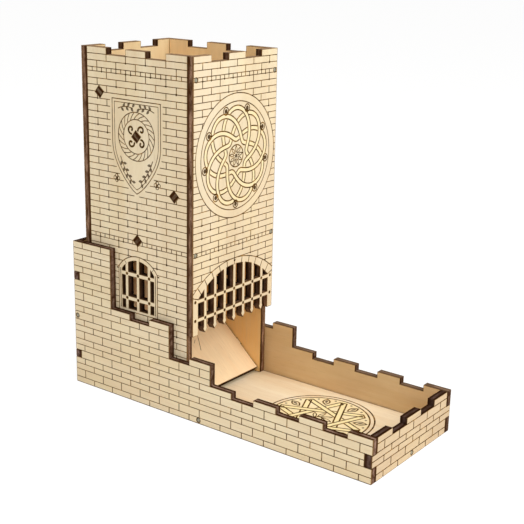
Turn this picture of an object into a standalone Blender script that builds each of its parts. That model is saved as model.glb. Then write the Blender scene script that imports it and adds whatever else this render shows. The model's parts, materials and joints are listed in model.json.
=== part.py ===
"""A castle-shaped dice tower of laser-cut plywood.

A walled tray holds a square tower in its rear half. Dice dropped in at the
tower's top tumble over two slanted baffles, roll down the exit ramp under the
portcullis and stop on the tray's floor. The tower is a box of its own that
lifts straight up out of the tray.

The tray runs along Y with its open end toward -Y, +Z is up, and the origin is
under the middle of the tray on the surface it stands on.
"""

import math

import bmesh
import bpy
from mathutils import Matrix, Vector

# Overall sizes
TRAY_LENGTH = 0.196
TRAY_WIDTH = 0.077
TRAY_REAR_HEIGHT = 0.083
TOWER_HEIGHT = 0.18464

# Plywood and the fits between boards
PLY = 0.004
GAP = 0.0003
CUT_OVERRUN = 0.002
WELD_DISTANCE = GAP / 100

# Tops of the tray's walls, brick by brick, each as a line of the engraved courses
SIDE_WALL_LINES = (6, 5, 6, 5, 6, 5, 6, 9, 8, 13, 12, 13, 22, 22)
FRONT_WALL_LINES = (6, 5, 6, 5, 6)
REAR_WALL_LINE = 22

# Courses of the tray's masonry: every third one is tall, up to the last tall one
TRAY_TALL_COURSE = 0.00458
TALL_EVERY = 3
TALL_COURSES = 6

# Fingers of the front and rear walls, from one course line to another
FRONT_FINGERS = ((2, 4),)
REAR_FINGERS = ((4, 5), (16, 17))

# Tower: five bricks across each face, plain courses and two thin dentil ones
TOWER_BRICKS = 5
DENTIL_COURSE = 0.0021
COURSES_BELOW_LOW_DENTIL = 24
COURSES_BETWEEN_DENTILS = 25
COURSES_ABOVE_HIGH_DENTIL = 2
MERLON_COURSES = 1
TOWER_REAR_CLEARANCE = 0.0018

# Portcullis, cut in the tower's front wall; its low rail counted in courses up the wall
PORTCULLIS_BARS = 7
JAMB_WIDTH = 0.00425
LOW_RAIL_COURSE = 14.12
RAIL_PITCH = 0.0102
RAIL_WIDTH = 0.0021
BAR_WIDTH = 0.0022
BAR_BELOW_RAIL = 0.00725
GATE_ARCH_RISE = 0.0126
SPEAR_WIDTH = 0.0032
SPEAR_LENGTH = 0.0024
SPEAR_NECK = 0.0011

# Barred window in each of the tower's side walls; its sill counted in courses up the wall
WINDOW_BARS = 3
WINDOW_WIDTH = 0.023
WINDOW_SILL_COURSE = 13.43
WINDOW_LOW_PANE_HEIGHT = 0.00475
WINDOW_MIDDLE_PANE_HEIGHT = 0.0114
WINDOW_HIGH_PANE_SIDE = 0.00105
WINDOW_ARCH_RISE = 0.0059
WINDOW_RAIL_WIDTH = 0.0023
WINDOW_BAR_PITCH = 0.008
WINDOW_BAR_WIDTH = 0.0021

# Baffles: a low tab at the side wall's middle and a high one near its edge, in courses
TAB_LENGTH = 0.004
HIGH_TAB_INSET = 0.0084
UPPER_BAFFLE_TAB_COURSES = (40.63, 46.6)
LOWER_BAFFLE_TAB_COURSES = (24.67, 32.68)
BAFFLE_LIP = 0.016

# Exit ramp: its toe behind the side walls' front edge, tabs along its slope
RAMP_ANGLE = math.radians(42.0)
RAMP_TOE_INSET = 0.0041
RAMP_LOW_TAB_FROM_TOE = 0.0187
RAMP_HIGH_TAB_FROM_TOP = 0.0142

# Round magnets let into the boards, and their places on the tray
MAGNET_DIAMETER = 0.002
EDGE_MAGNET_LENGTH = 0.004
FLOOR_MAGNET_FROM_FRONT = 0.1055
REAR_MAGNET_HEIGHT = 0.040

# Facets
ROUND_SIDES = 16
ARCH_STEPS = 4

# Sizes worked out from the ones above
LOW_COURSES = REAR_WALL_LINE - TALL_COURSES
TRAY_LOW_COURSE = (TRAY_REAR_HEIGHT - TALL_COURSES * TRAY_TALL_COURSE) / LOW_COURSES
COURSES_BELOW_MERLONS = (
    COURSES_BELOW_LOW_DENTIL + COURSES_BETWEEN_DENTILS + COURSES_ABOVE_HIGH_DENTIL
)
TOWER_COURSE = (TOWER_HEIGHT - 2 * DENTIL_COURSE) / (COURSES_BELOW_MERLONS + MERLON_COURSES)
MERLON_HEIGHT = MERLON_COURSES * TOWER_COURSE
TRAY_INSIDE = TRAY_WIDTH - 2 * PLY
TOWER_WIDTH = TRAY_INSIDE - 2 * GAP
TOWER_INSIDE = TOWER_WIDTH - 2 * PLY
TOWER_FOOT = PLY + GAP
TOWER_BACK = TRAY_LENGTH / 2 - PLY - TOWER_REAR_CLEARANCE
TOWER_MIDDLE = TOWER_BACK - PLY - GAP - TOWER_WIDTH / 2

WOOD_COLOUR = (0.80, 0.66, 0.45, 1.0)
NICKEL_COLOUR = (0.56, 0.54, 0.50, 1.0)

# Turns that stand a board, drawn flat, in its wall's plane
FACING_FRONT = (math.pi / 2, 0, 0)
FACING_SIDE = (math.pi / 2, 0, math.pi / 2)
LYING_FLAT = (0, 0, 0)


def tray_line(count):
    """Height of a course line of the tray: every third course is a tall one."""
    tall = min((count + 1) // TALL_EVERY, TALL_COURSES)
    return tall * TRAY_TALL_COURSE + (count - tall) * TRAY_LOW_COURSE


def low_dentil_height():
    """Middle of the tower's lower dentil course above the tower's foot."""
    return COURSES_BELOW_LOW_DENTIL * TOWER_COURSE + DENTIL_COURSE / 2


def high_dentil_height():
    """Middle of the tower's upper dentil course above the tower's foot."""
    return low_dentil_height() + COURSES_BETWEEN_DENTILS * TOWER_COURSE + DENTIL_COURSE


def clear_scene():
    """Remove the objects that the scene starts with."""
    for old in list(bpy.data.objects):
        bpy.data.objects.remove(old, do_unlink=True)


def new_collection(name):
    """Make a collection in the scene."""
    made = bpy.data.collections.new(name)
    bpy.context.scene.collection.children.link(made)
    return made


def surface_material(name, colour, roughness, metallic):
    """A plain Principled surface."""
    material = bpy.data.materials.new(name)
    material.use_nodes = True
    shader = material.node_tree.nodes["Principled BSDF"]
    shader.inputs["Base Color"].default_value = colour
    shader.inputs["Roughness"].default_value = roughness
    shader.inputs["Metallic"].default_value = metallic
    return material


def plywood_material(name):
    """Pale sanded plywood for one board."""
    return surface_material(name + "_plywood", WOOD_COLOUR, 0.6, 0.0)


def magnet_material(name):
    """Nickel plate for one magnet."""
    return surface_material(name + "_nickel", NICKEL_COLOUR, 0.35, 1.0)


def circle_points(centre, diameter):
    """Points of a round hole."""
    turn = 2 * math.pi / ROUND_SIDES
    return [
        (
            centre[0] + diameter / 2 * math.cos(turn * step),
            centre[1] + diameter / 2 * math.sin(turn * step),
        )
        for step in range(ROUND_SIDES)
    ]


def stepped_top(edges, heights):
    """Points of a crenellated top, from the first edge to the last."""
    points = []
    for step, height in enumerate(heights):
        if step == 0 or height != heights[step - 1]:
            points.append((edges[step], height))
        if step == len(heights) - 1 or height != heights[step + 1]:
            points.append((edges[step + 1], height))
    return points


def stepped_edge(edge, shift, spans):
    """Points up an upright edge that moves sideways by shift over each span."""
    points = []
    for low, high in spans:
        points += [(edge, low), (edge + shift, low), (edge + shift, high), (edge, high)]
    return points


def even_edges(width, count):
    """Edges of equal bricks across a width about zero."""
    return [width * (step / count - 1 / 2) for step in range(count + 1)]


def arch_height(across, width, spring, rise):
    """Height of a segmental arch at a place across its width."""
    radius = ((width / 2) ** 2 + rise**2) / (2 * rise)
    return spring + rise - radius + math.sqrt(radius**2 - across**2)


def square_pane(left, right, low, high):
    """Outline of a rectangular opening."""
    return [(left, low), (right, low), (right, high), (left, high)]


def arched_pane(left, right, low, width, spring, rise):
    """Outline of an opening whose top follows an arch of the given width."""
    points = [(left, low), (right, low)]
    for step in range(ARCH_STEPS + 1):
        across = right + (left - right) * step / ARCH_STEPS
        top = arch_height(across, width, spring, rise)
        if top - low > GAP:
            points.append((across, top))
    return points


def bar_columns(width, pitch, bars, bar_width):
    """Left and right edge of each gap between upright bars about zero."""
    columns = []
    left = -width / 2
    for bar in range(bars):
        centre = pitch * (bar - (bars - 1) / 2)
        columns.append((left, centre - bar_width / 2))
        left = centre + bar_width / 2
    columns.append((left, width / 2))
    return columns


def slot_outline(centre, angle):
    """Slanted slot that takes a tab of a baffle, turned by the baffle's angle."""
    half_length = TAB_LENGTH / 2 + GAP
    half_width = PLY / 2 + GAP
    along = Vector((math.cos(angle), math.sin(angle)))
    across = Vector((-math.sin(angle), math.cos(angle)))
    corners = ((-1, -1), (1, -1), (1, 1), (-1, 1))
    return [
        tuple(Vector(centre) + along * half_length * u + across * half_width * v)
        for u, v in corners
    ]


def place(thing, collection, parent, location, rotation):
    """Put a new object in its collection, under its parent, in its place."""
    collection.objects.link(thing)
    thing.parent = parent
    thing.location = location
    thing.rotation_euler = rotation
    return thing


def even_triangles(work):
    """Turn the edges inside each flat face of a board so that no triangle is a sliver."""
    for side in (-1, 1):
        faces = [face for face in work.faces if all(v.co.z * side > 0 for v in face.verts)]
        edges = [
            edge
            for edge in work.edges
            if all(v.co.z * side > 0 for face in edge.link_faces for v in face.verts)
        ]
        bmesh.ops.beautify_fill(work, faces=faces, edges=edges)


def flat_board(name, outline, holes, collection, parent, location, rotation):
    """One plywood board: a filled flat outline with its openings, made a mesh."""
    drawing = bpy.data.curves.new(name + "_outline", "CURVE")
    drawing.dimensions = "2D"
    drawing.fill_mode = "BOTH"
    drawing.extrude = PLY / 2
    for loop in [outline] + holes:
        spline = drawing.splines.new("POLY")
        spline.points.add(len(loop) - 1)
        spline.use_cyclic_u = True
        for point, (across, up) in zip(spline.points, loop):
            point.co = (across, up, 0, 1)
    guide = place(
        bpy.data.objects.new(name + "_drawing", drawing), collection, parent, location, rotation
    )
    bpy.context.view_layer.update()
    evaluated = guide.evaluated_get(bpy.context.evaluated_depsgraph_get())
    mesh = bpy.data.meshes.new_from_object(evaluated)
    mesh.name = name
    bpy.data.objects.remove(guide, do_unlink=True)
    work = bmesh.new()
    work.from_mesh(mesh)
    bmesh.ops.remove_doubles(work, verts=work.verts, dist=WELD_DISTANCE)
    even_triangles(work)
    bmesh.ops.recalc_face_normals(work, faces=work.faces)
    work.to_mesh(mesh)
    work.free()
    mesh.materials.clear()
    mesh.materials.append(plywood_material(name))
    return place(bpy.data.objects.new(name, mesh), collection, parent, location, rotation)


def along_direction(centre, direction):
    """Matrix that stands a cylinder's axis along a direction at a centre."""
    turn = Vector(direction).to_track_quat("Z", "Y").to_matrix().to_4x4()
    return Matrix.Translation(Vector(centre)) @ turn


def drill_edges(board, mouths, cutters, parent):
    """Blind magnet holes in a board's edges: each mouth's point and inward direction."""
    depth = EDGE_MAGNET_LENGTH + GAP
    work = bmesh.new()
    for mouth, inward in mouths:
        centre = Vector(mouth) + Vector(inward) * (depth - CUT_OVERRUN) / 2
        bmesh.ops.create_cone(
            work,
            cap_ends=True,
            segments=ROUND_SIDES,
            radius1=MAGNET_DIAMETER / 2 + GAP,
            radius2=MAGNET_DIAMETER / 2 + GAP,
            depth=depth + CUT_OVERRUN,
            matrix=along_direction(centre, inward),
        )
    mesh = bpy.data.meshes.new(board.name + "_drill")
    work.to_mesh(mesh)
    work.free()
    drill = place(
        bpy.data.objects.new(board.name + "_drill", mesh), cutters, parent, (0, 0, 0), LYING_FLAT
    )
    drill.display_type = "WIRE"
    drill.hide_render = True
    holes = board.modifiers.new("magnet_holes", "BOOLEAN")
    holes.operation = "DIFFERENCE"
    holes.object = drill


def magnet(name, centre, direction, length, collection, parent):
    """One round magnet, centred at a point, its axis along a direction."""
    work = bmesh.new()
    bmesh.ops.create_cone(
        work,
        cap_ends=True,
        segments=ROUND_SIDES,
        radius1=MAGNET_DIAMETER / 2,
        radius2=MAGNET_DIAMETER / 2,
        depth=length,
    )
    mesh = bpy.data.meshes.new(name)
    work.to_mesh(mesh)
    work.free()
    mesh.materials.append(magnet_material(name))
    mesh.shade_smooth()
    mesh.set_sharp_from_angle(angle=math.radians(40))
    turn = Vector(direction).to_track_quat("Z", "Y").to_euler()
    return place(bpy.data.objects.new(name, mesh), collection, parent, centre, turn)


def magnet_pair(name, mouth, inward, collection, parent):
    """A wall's magnet and its mate in the neighbour's edge, met at the edge's mouth.

    The mouth lies on the neighbour's edge, and inward points into the neighbour."""
    mouth = Vector(mouth)
    inward = Vector(inward)
    magnet(
        name + "_wall_magnet",
        mouth - inward * (GAP + PLY / 2),
        inward,
        PLY,
        collection,
        parent,
    )
    magnet(
        name + "_edge_magnet",
        mouth + inward * EDGE_MAGNET_LENGTH / 2,
        inward,
        EDGE_MAGNET_LENGTH,
        collection,
        parent,
    )


def magnet_hole(centre):
    """Outline of the round hole that a wall's magnet sits in."""
    return circle_points(centre, MAGNET_DIAMETER + 2 * GAP)


def finger_spans(fingers, gap):
    """Low and high ends of the fingers between course lines, drawn in by a gap."""
    return [(tray_line(low) + gap, tray_line(high) - gap) for low, high in fingers]


def tray_side_wall(name, side, collection):
    """A stepped, crenellated side wall of the tray; side is -1 left, +1 right."""
    front, rear = -TRAY_LENGTH / 2, TRAY_LENGTH / 2
    edges = even_edges(TRAY_LENGTH, len(SIDE_WALL_LINES))
    heights = [tray_line(count) for count in SIDE_WALL_LINES]
    finger_depth = PLY + GAP
    outline = [(front, 0), (rear, 0)]
    outline += stepped_edge(rear, -finger_depth, finger_spans(REAR_FINGERS, 0))
    outline += reversed(stepped_top(edges, heights))
    outline += reversed(stepped_edge(front, finger_depth, finger_spans(FRONT_FINGERS, 0)))
    holes = [
        magnet_hole((front + FLOOR_MAGNET_FROM_FRONT, PLY / 2)),
        magnet_hole((rear - PLY / 2, REAR_MAGNET_HEIGHT)),
    ]
    location = (side * (TRAY_WIDTH - PLY) / 2, 0, 0)
    return flat_board(name, outline, holes, collection, None, location, FACING_SIDE)


def tray_end_wall(name, end, lines, fingers, collection):
    """The tray's front or rear wall, fingered into the side walls; end is -1 or +1."""
    inner = TRAY_INSIDE / 2 - GAP
    finger_reach = TRAY_WIDTH / 2 - inner
    edges = even_edges(TRAY_INSIDE, len(lines))
    edges[0], edges[-1] = -inner, inner
    heights = [tray_line(count) for count in lines]
    spans = finger_spans(fingers, GAP)
    outline = [(-inner, 0), (inner, 0)]
    outline += stepped_edge(inner, finger_reach, spans)
    outline += reversed(stepped_top(edges, heights))
    outline += reversed(stepped_edge(-inner, -finger_reach, spans))
    holes = [magnet_hole((0, PLY / 2))]
    location = (0, end * (TRAY_LENGTH - PLY) / 2, 0)
    return flat_board(name, outline, holes, collection, None, location, FACING_FRONT)


def tray_floor(collection, cutters):
    """The flat floor between the four walls, with a magnet hole in each edge."""
    across = TRAY_INSIDE / 2 - GAP
    along = TRAY_LENGTH / 2 - PLY - GAP
    outline = square_pane(-across, across, -along, along)
    middle = PLY / 2
    board = flat_board(
        "tray_floor", outline, [], collection, None, (0, 0, middle), LYING_FLAT
    )
    magnet_place = FLOOR_MAGNET_FROM_FRONT - TRAY_LENGTH / 2
    mouths = {
        "floor_left": ((-across, magnet_place, middle), (1, 0, 0)),
        "floor_right": ((across, magnet_place, middle), (-1, 0, 0)),
        "floor_front": ((0, -along, middle), (0, 1, 0)),
        "floor_rear": ((0, along, middle), (0, -1, 0)),
    }
    drill_edges(board, mouths.values(), cutters, None)
    for name, (mouth, inward) in mouths.items():
        magnet_pair(name, mouth, inward, collection, None)


def tray_rear_wall(collection, cutters):
    """The tall plain-topped rear wall, with a magnet hole in each upright edge."""
    board = tray_end_wall("tray_rear_wall", 1, (REAR_WALL_LINE,), REAR_FINGERS, collection)
    edge = TRAY_INSIDE / 2 - GAP
    middle = (TRAY_LENGTH - PLY) / 2
    mouths = {
        "rear_left": ((-edge, middle, REAR_MAGNET_HEIGHT), (1, 0, 0)),
        "rear_right": ((edge, middle, REAR_MAGNET_HEIGHT), (-1, 0, 0)),
    }
    drill_edges(board, mouths.values(), cutters, None)
    for name, (mouth, inward) in mouths.items():
        magnet_pair(name, mouth, inward, collection, None)


def crenellated_panel(foot, lower_edge):
    """A tower panel's outline: its lower edge from left to right, and its merlons."""
    edges = even_edges(TOWER_WIDTH, TOWER_BRICKS)
    heights = [TOWER_HEIGHT - MERLON_HEIGHT * (brick % 2) for brick in range(TOWER_BRICKS)]
    half = TOWER_WIDTH / 2
    outline = [(-half, foot)] + lower_edge + [(half, foot)]
    outline += reversed(stepped_top(edges, heights))
    return outline


def window_panes():
    """The openings of a barred, arched window about the panel's middle."""
    columns = bar_columns(WINDOW_WIDTH, WINDOW_BAR_PITCH, WINDOW_BARS, WINDOW_BAR_WIDTH)
    sill = WINDOW_SILL_COURSE * TOWER_COURSE
    low_rail = sill + WINDOW_LOW_PANE_HEIGHT
    middle = low_rail + WINDOW_RAIL_WIDTH
    high_rail = middle + WINDOW_MIDDLE_PANE_HEIGHT
    top = high_rail + WINDOW_RAIL_WIDTH
    spring = top + WINDOW_HIGH_PANE_SIDE
    panes = []
    for left, right in columns:
        panes.append(square_pane(left, right, sill, low_rail))
        panes.append(square_pane(left, right, middle, high_rail))
        panes.append(arched_pane(left, right, top, WINDOW_WIDTH, spring, WINDOW_ARCH_RISE))
    return panes


def baffle_lines():
    """Each slanted board as its lower tab, angle, tab places and ends along the slope.

    Places are in a side wall's plane, from the tower's middle and foot, and
    distances run up the slope from the board's lower tab. A negative direction
    marks the board that rises toward the front."""
    inside = TOWER_WIDTH / 2
    lines = {}
    for name, toward, tab_courses in (
        ("upper_baffle", 1, UPPER_BAFFLE_TAB_COURSES),
        ("lower_baffle", -1, LOWER_BAFFLE_TAB_COURSES),
    ):
        low, high = (TOWER_COURSE * course for course in tab_courses)
        run = inside - HIGH_TAB_INSET
        angle = math.atan2(high - low, run)
        to_high_tab = math.hypot(run, high - low)
        reach = (inside - PLY / 2 * math.sin(angle)) / math.cos(angle)
        lines[name] = (toward, (0, low), angle, (0, to_high_tab), (-BAFFLE_LIP, reach))
    toe = (
        -inside + RAMP_TOE_INSET - PLY / 2 * math.sin(RAMP_ANGLE),
        PLY / 2 * math.cos(RAMP_ANGLE),
    )
    reach = (inside - toe[0] - PLY / 2 * math.sin(RAMP_ANGLE)) / math.cos(RAMP_ANGLE)
    tabs = (RAMP_LOW_TAB_FROM_TOE, reach - RAMP_HIGH_TAB_FROM_TOP)
    lines["exit_ramp"] = (1, toe, RAMP_ANGLE, tabs, (0, reach))
    return lines


def baffle_slots():
    """Slots for every tab of the baffles and the ramp, in a side wall's plane."""
    slots = []
    for toward, start, angle, tabs, _ in baffle_lines().values():
        for along in tabs:
            centre = (
                start[0] + toward * along * math.cos(angle),
                start[1] + along * math.sin(angle),
            )
            slots.append(slot_outline(centre, toward * angle))
    return slots


def tower_side_wall(name, side, collection, cutters, parent):
    """A side panel of the tower, with its window, tab slots and magnet holes."""
    outline = crenellated_panel(0, [])
    holes = window_panes() + baffle_slots()
    middle = side * (TOWER_WIDTH - PLY) / 2
    board = flat_board(name, outline, holes, collection, parent, (middle, 0, 0), FACING_SIDE)
    label = "left" if side < 0 else "right"
    mouths = {}
    for end_name, end in (("front", -1), ("back", 1)):
        for level_name, height in (("low", low_dentil_height()), ("high", high_dentil_height())):
            mouth = (middle, end * TOWER_WIDTH / 2, height)
            mouths[f"tower_{end_name}_{label}_{level_name}"] = (mouth, (0, -end, 0))
    drill_edges(board, mouths.values(), cutters, parent)
    for pair_name, (mouth, inward) in mouths.items():
        magnet_pair(pair_name, mouth, inward, collection, parent)


def panel_magnet_holes():
    """Holes of the four magnets near the upright edges of a front or back panel."""
    across = (TOWER_WIDTH - PLY) / 2
    return [
        magnet_hole((side * across, height))
        for side in (-1, 1)
        for height in (low_dentil_height(), high_dentil_height())
    ]


def gate_comb(gate_width, pitch, foot):
    """The gate's lower edge from jamb to jamb: bars that end in spear points."""
    under_rail = foot + BAR_BELOW_RAIL
    shoulder = foot + SPEAR_LENGTH
    neck = shoulder + SPEAR_NECK
    points = [(-gate_width / 2, foot), (-gate_width / 2, under_rail)]
    for bar in range(PORTCULLIS_BARS):
        centre = pitch * (bar - (PORTCULLIS_BARS - 1) / 2)
        points += [
            (centre - BAR_WIDTH / 2, under_rail),
            (centre - BAR_WIDTH / 2, neck),
            (centre - SPEAR_WIDTH / 2, shoulder),
            (centre, foot),
            (centre + SPEAR_WIDTH / 2, shoulder),
            (centre + BAR_WIDTH / 2, neck),
            (centre + BAR_WIDTH / 2, under_rail),
        ]
    points += [(gate_width / 2, under_rail), (gate_width / 2, foot)]
    return points


def tower_front_wall(collection, parent):
    """The front panel: portcullis under a segmental arch, open below the spears."""
    gate_width = TOWER_WIDTH - 2 * JAMB_WIDTH
    pitch = (TOWER_WIDTH - PLY) / (PORTCULLIS_BARS + 1)
    low_rail = LOW_RAIL_COURSE * TOWER_COURSE
    high_rail = low_rail + RAIL_PITCH
    half_rail = RAIL_WIDTH / 2
    spring = high_rail + half_rail
    foot = low_rail - half_rail - BAR_BELOW_RAIL
    holes = panel_magnet_holes()
    for left, right in bar_columns(gate_width, pitch, PORTCULLIS_BARS, BAR_WIDTH):
        holes.append(square_pane(left, right, low_rail + half_rail, high_rail - half_rail))
        holes.append(arched_pane(left, right, spring, gate_width, spring, GATE_ARCH_RISE))
    outline = crenellated_panel(foot, gate_comb(gate_width, pitch, foot))
    location = (0, -(TOWER_WIDTH / 2 + GAP + PLY / 2), 0)
    flat_board(
        "tower_front_wall", outline, holes, collection, parent, location, FACING_FRONT
    )


def tower_back_wall(collection, parent):
    """The back panel, down to the tray's floor."""
    outline = crenellated_panel(0, [])
    location = (0, TOWER_WIDTH / 2 + GAP + PLY / 2, 0)
    flat_board(
        "tower_back_wall",
        outline,
        panel_magnet_holes(),
        collection,
        parent,
        location,
        FACING_FRONT,
    )


def slanted_boards(collection, parent):
    """The two baffles and the exit ramp, each with two tabs a side in the side walls."""
    half = TOWER_INSIDE / 2 - GAP
    reach = TOWER_WIDTH / 2 - half
    for name, (toward, start, angle, tabs, ends) in baffle_lines().items():
        spans = [(along - TAB_LENGTH / 2, along + TAB_LENGTH / 2) for along in tabs]
        outline = [(-half, ends[0]), (half, ends[0])]
        outline += stepped_edge(half, reach, spans)
        outline += [(half, ends[1]), (-half, ends[1])]
        outline += reversed(stepped_edge(-half, -reach, spans))
        turn = angle if toward > 0 else math.pi - angle
        location = (0, start[0], start[1])
        flat_board(name, outline, [], collection, parent, location, (turn, 0, 0))


def build():
    """Make the tray, then the tower on the empty that carries its lift."""
    clear_scene()
    parts = new_collection("dice_tower")
    cutters = new_collection("cutters")
    tray_floor(parts, cutters)
    tray_side_wall("tray_left_wall", -1, parts)
    tray_side_wall("tray_right_wall", 1, parts)
    tray_end_wall("tray_front_wall", -1, FRONT_WALL_LINES, FRONT_FINGERS, parts)
    tray_rear_wall(parts, cutters)
    tower = place(
        bpy.data.objects.new("tower", None), parts, None, (0, TOWER_MIDDLE, TOWER_FOOT), LYING_FLAT
    )
    tower_side_wall("tower_left_wall", -1, parts, cutters, tower)
    tower_side_wall("tower_right_wall", 1, parts, cutters, tower)
    tower_front_wall(parts, tower)
    tower_back_wall(parts, tower)
    slanted_boards(parts, tower)


build()
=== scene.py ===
"""The look of a castle dice tower of laser-cut birch plywood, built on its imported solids."""

import json
import math
from functools import partial

import bpy
import numpy as np
from mathutils import Matrix, Vector
from mathutils.geometry import delaunay_2d_cdt


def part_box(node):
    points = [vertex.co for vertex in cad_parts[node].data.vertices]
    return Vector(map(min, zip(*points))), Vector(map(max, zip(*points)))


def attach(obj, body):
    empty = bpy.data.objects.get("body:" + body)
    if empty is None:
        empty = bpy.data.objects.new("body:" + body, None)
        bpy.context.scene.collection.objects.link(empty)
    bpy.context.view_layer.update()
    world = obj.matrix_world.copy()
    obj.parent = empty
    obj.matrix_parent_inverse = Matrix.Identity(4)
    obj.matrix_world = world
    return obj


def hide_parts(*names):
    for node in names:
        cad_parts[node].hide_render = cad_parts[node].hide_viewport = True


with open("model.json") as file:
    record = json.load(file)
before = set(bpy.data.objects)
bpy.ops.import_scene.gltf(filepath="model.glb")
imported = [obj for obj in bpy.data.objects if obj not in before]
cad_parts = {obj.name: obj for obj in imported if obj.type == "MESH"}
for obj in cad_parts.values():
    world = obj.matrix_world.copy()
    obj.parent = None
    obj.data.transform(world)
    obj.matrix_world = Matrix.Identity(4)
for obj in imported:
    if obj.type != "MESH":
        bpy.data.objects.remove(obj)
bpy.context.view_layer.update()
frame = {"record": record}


# The table and the light. A plain white table top and a bright, even studio round it: a
# lamp high in front makes the gate side the brightest, a weaker one on the left fills the
# long walls, and one above lights the top edges and the tray's floor.
TABLE_HALF = 40.0
TABLE_WHITE = (0.93, 0.93, 0.93, 1.0)
TABLE_GLOW = 1.09
TABLE_GLOW_SHARE = 0.85
STUDIO_WHITE = (1.0, 0.99, 0.97, 1.0)
STUDIO_STRENGTH = 0.36
PLAIN_WHITE = (1.0, 1.0, 1.0, 1.0)
LAMP_SIZE = 1.1
CAMERA_PLACE = (-0.43644, -0.32762, 0.24374)
CAMERA_AZIMUTH = math.radians(-53.361)
CAMERA_ELEVATION = math.radians(16.581)
CAMERA_ROLL = math.radians(1.265)
CAMERA_LENS = 74.42
CAMERA_SENSOR = 36.0
CAMERA_NEAREST = 0.01


def shader_node(tree, kind, settings=(), **sockets):
    """A node of a kind with its settings, its input sockets set by name or by number, or
    linked to an output."""
    made = tree.nodes.new(kind)
    for name, value in dict(settings).items():
        setattr(made, name, value)
    for name, value in sockets.items():
        number = name[1:]
        socket = made.inputs[int(number) if number.isdigit() else name.replace("_", " ")]
        if isinstance(value, bpy.types.NodeSocket):
            tree.links.new(value, socket)
        else:
            socket.default_value = value
    return made


def reckoned(tree, operation, first, second):
    """A number worked out from two others."""
    settings = {"operation": operation}
    return shader_node(tree, "ShaderNodeMath", settings, _0=first, _1=second).outputs[0]


def empty_tree(block):
    """The cleared node tree of a material or a world."""
    block.use_nodes = True
    block.node_tree.nodes.clear()
    return block.node_tree


def placed(name, data):
    """An object of the data, in the scene."""
    made = bpy.data.objects.new(name, data)
    bpy.context.scene.collection.objects.link(made)
    return made


def table_top():
    """A square white sheet under the object, that looks white but keeps its shadow."""
    corners = TABLE_HALF * np.array([(-1, -1, 0), (1, -1, 0), (1, 1, 0), (-1, 1, 0)], float)
    mesh = bpy.data.meshes.new("table_top")
    mesh.from_pydata(corners.tolist(), [], [(0, 1, 2, 3)])
    white = bpy.data.materials.new("white table top")
    tree = empty_tree(white)
    matt = shader_node(tree, "ShaderNodeBsdfDiffuse", Color=TABLE_WHITE).outputs[0]
    glow = shader_node(tree, "ShaderNodeEmission", Color=PLAIN_WHITE, Strength=TABLE_GLOW)
    rays = shader_node(tree, "ShaderNodeLightPath").outputs
    seen = reckoned(tree, "MULTIPLY", rays["Is Camera Ray"], TABLE_GLOW_SHARE)
    mixed = shader_node(tree, "ShaderNodeMixShader", _0=seen, _1=matt, _2=glow.outputs[0])
    shader_node(tree, "ShaderNodeOutputMaterial", Surface=mixed.outputs[0])
    mesh.materials.append(white)
    placed("table_top", mesh)


def studio_world():
    """An even white surround that lights softly and looks plain white."""
    world = bpy.data.worlds.new("studio")
    tree = empty_tree(world)
    soft = shader_node(tree, "ShaderNodeBackground", Color=STUDIO_WHITE, Strength=STUDIO_STRENGTH)
    plain = shader_node(tree, "ShaderNodeBackground", Color=PLAIN_WHITE, Strength=1.0)
    rays = shader_node(tree, "ShaderNodeLightPath").outputs
    seen = reckoned(tree, "MAXIMUM", rays["Is Camera Ray"], rays["Is Glossy Ray"])
    seen = reckoned(tree, "MAXIMUM", seen, rays["Is Transmission Ray"])
    mixed = shader_node(
        tree, "ShaderNodeMixShader", _0=seen, _1=soft.outputs[0], _2=plain.outputs[0]
    )
    shader_node(tree, "ShaderNodeOutputWorld", Surface=mixed.outputs[0])
    bpy.context.scene.world = world


def studio_lamp(name, place, aim, power, colour):
    """A square soft lamp at a place, turned to its aim."""
    light = bpy.data.lights.new(name, "AREA")
    light.size = LAMP_SIZE
    light.energy = power
    light.color = colour
    lamp = placed(name, light)
    lamp.location = place
    lamp.rotation_euler = (Vector(aim) - Vector(place)).to_track_quat("-Z", "Y").to_euler()


def photo_camera():
    """A camera at its place, looking along its azimuth and down by its elevation."""
    level = math.cos(CAMERA_ELEVATION)
    across, ahead = -math.sin(CAMERA_AZIMUTH) * level, math.cos(CAMERA_AZIMUTH) * level
    forward = Vector((across, ahead, -math.sin(CAMERA_ELEVATION)))
    data = bpy.data.cameras.new("camera")
    data.lens = CAMERA_LENS
    data.sensor_width = CAMERA_SENSOR
    data.clip_start = CAMERA_NEAREST
    camera = placed("camera", data)
    facing = forward.to_track_quat("-Z", "Y").to_matrix().to_4x4()
    rolled = facing @ Matrix.Rotation(CAMERA_ROLL, 4, "Z")
    camera.matrix_world = Matrix.Translation(Vector(CAMERA_PLACE)) @ rolled
    bpy.context.scene.camera = camera


table_top()
studio_world()
studio_lamp("gate_lamp", (0.05, -1.3, 0.85), (0.0, 0.0, 0.09), 14.5, (1.0, 0.98, 0.93))
studio_lamp("wall_lamp", (-1.3, -0.15, 0.45), (0.0, 0.0, 0.09), 4.4, (0.98, 0.98, 0.99))
studio_lamp("top_lamp", (-0.1, -0.3, 1.5), (0.0, 0.0, 0.0), 9.0, (1.0, 0.98, 0.96))
photo_camera()
bpy.context.scene.view_settings.view_transform = "Standard"


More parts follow.
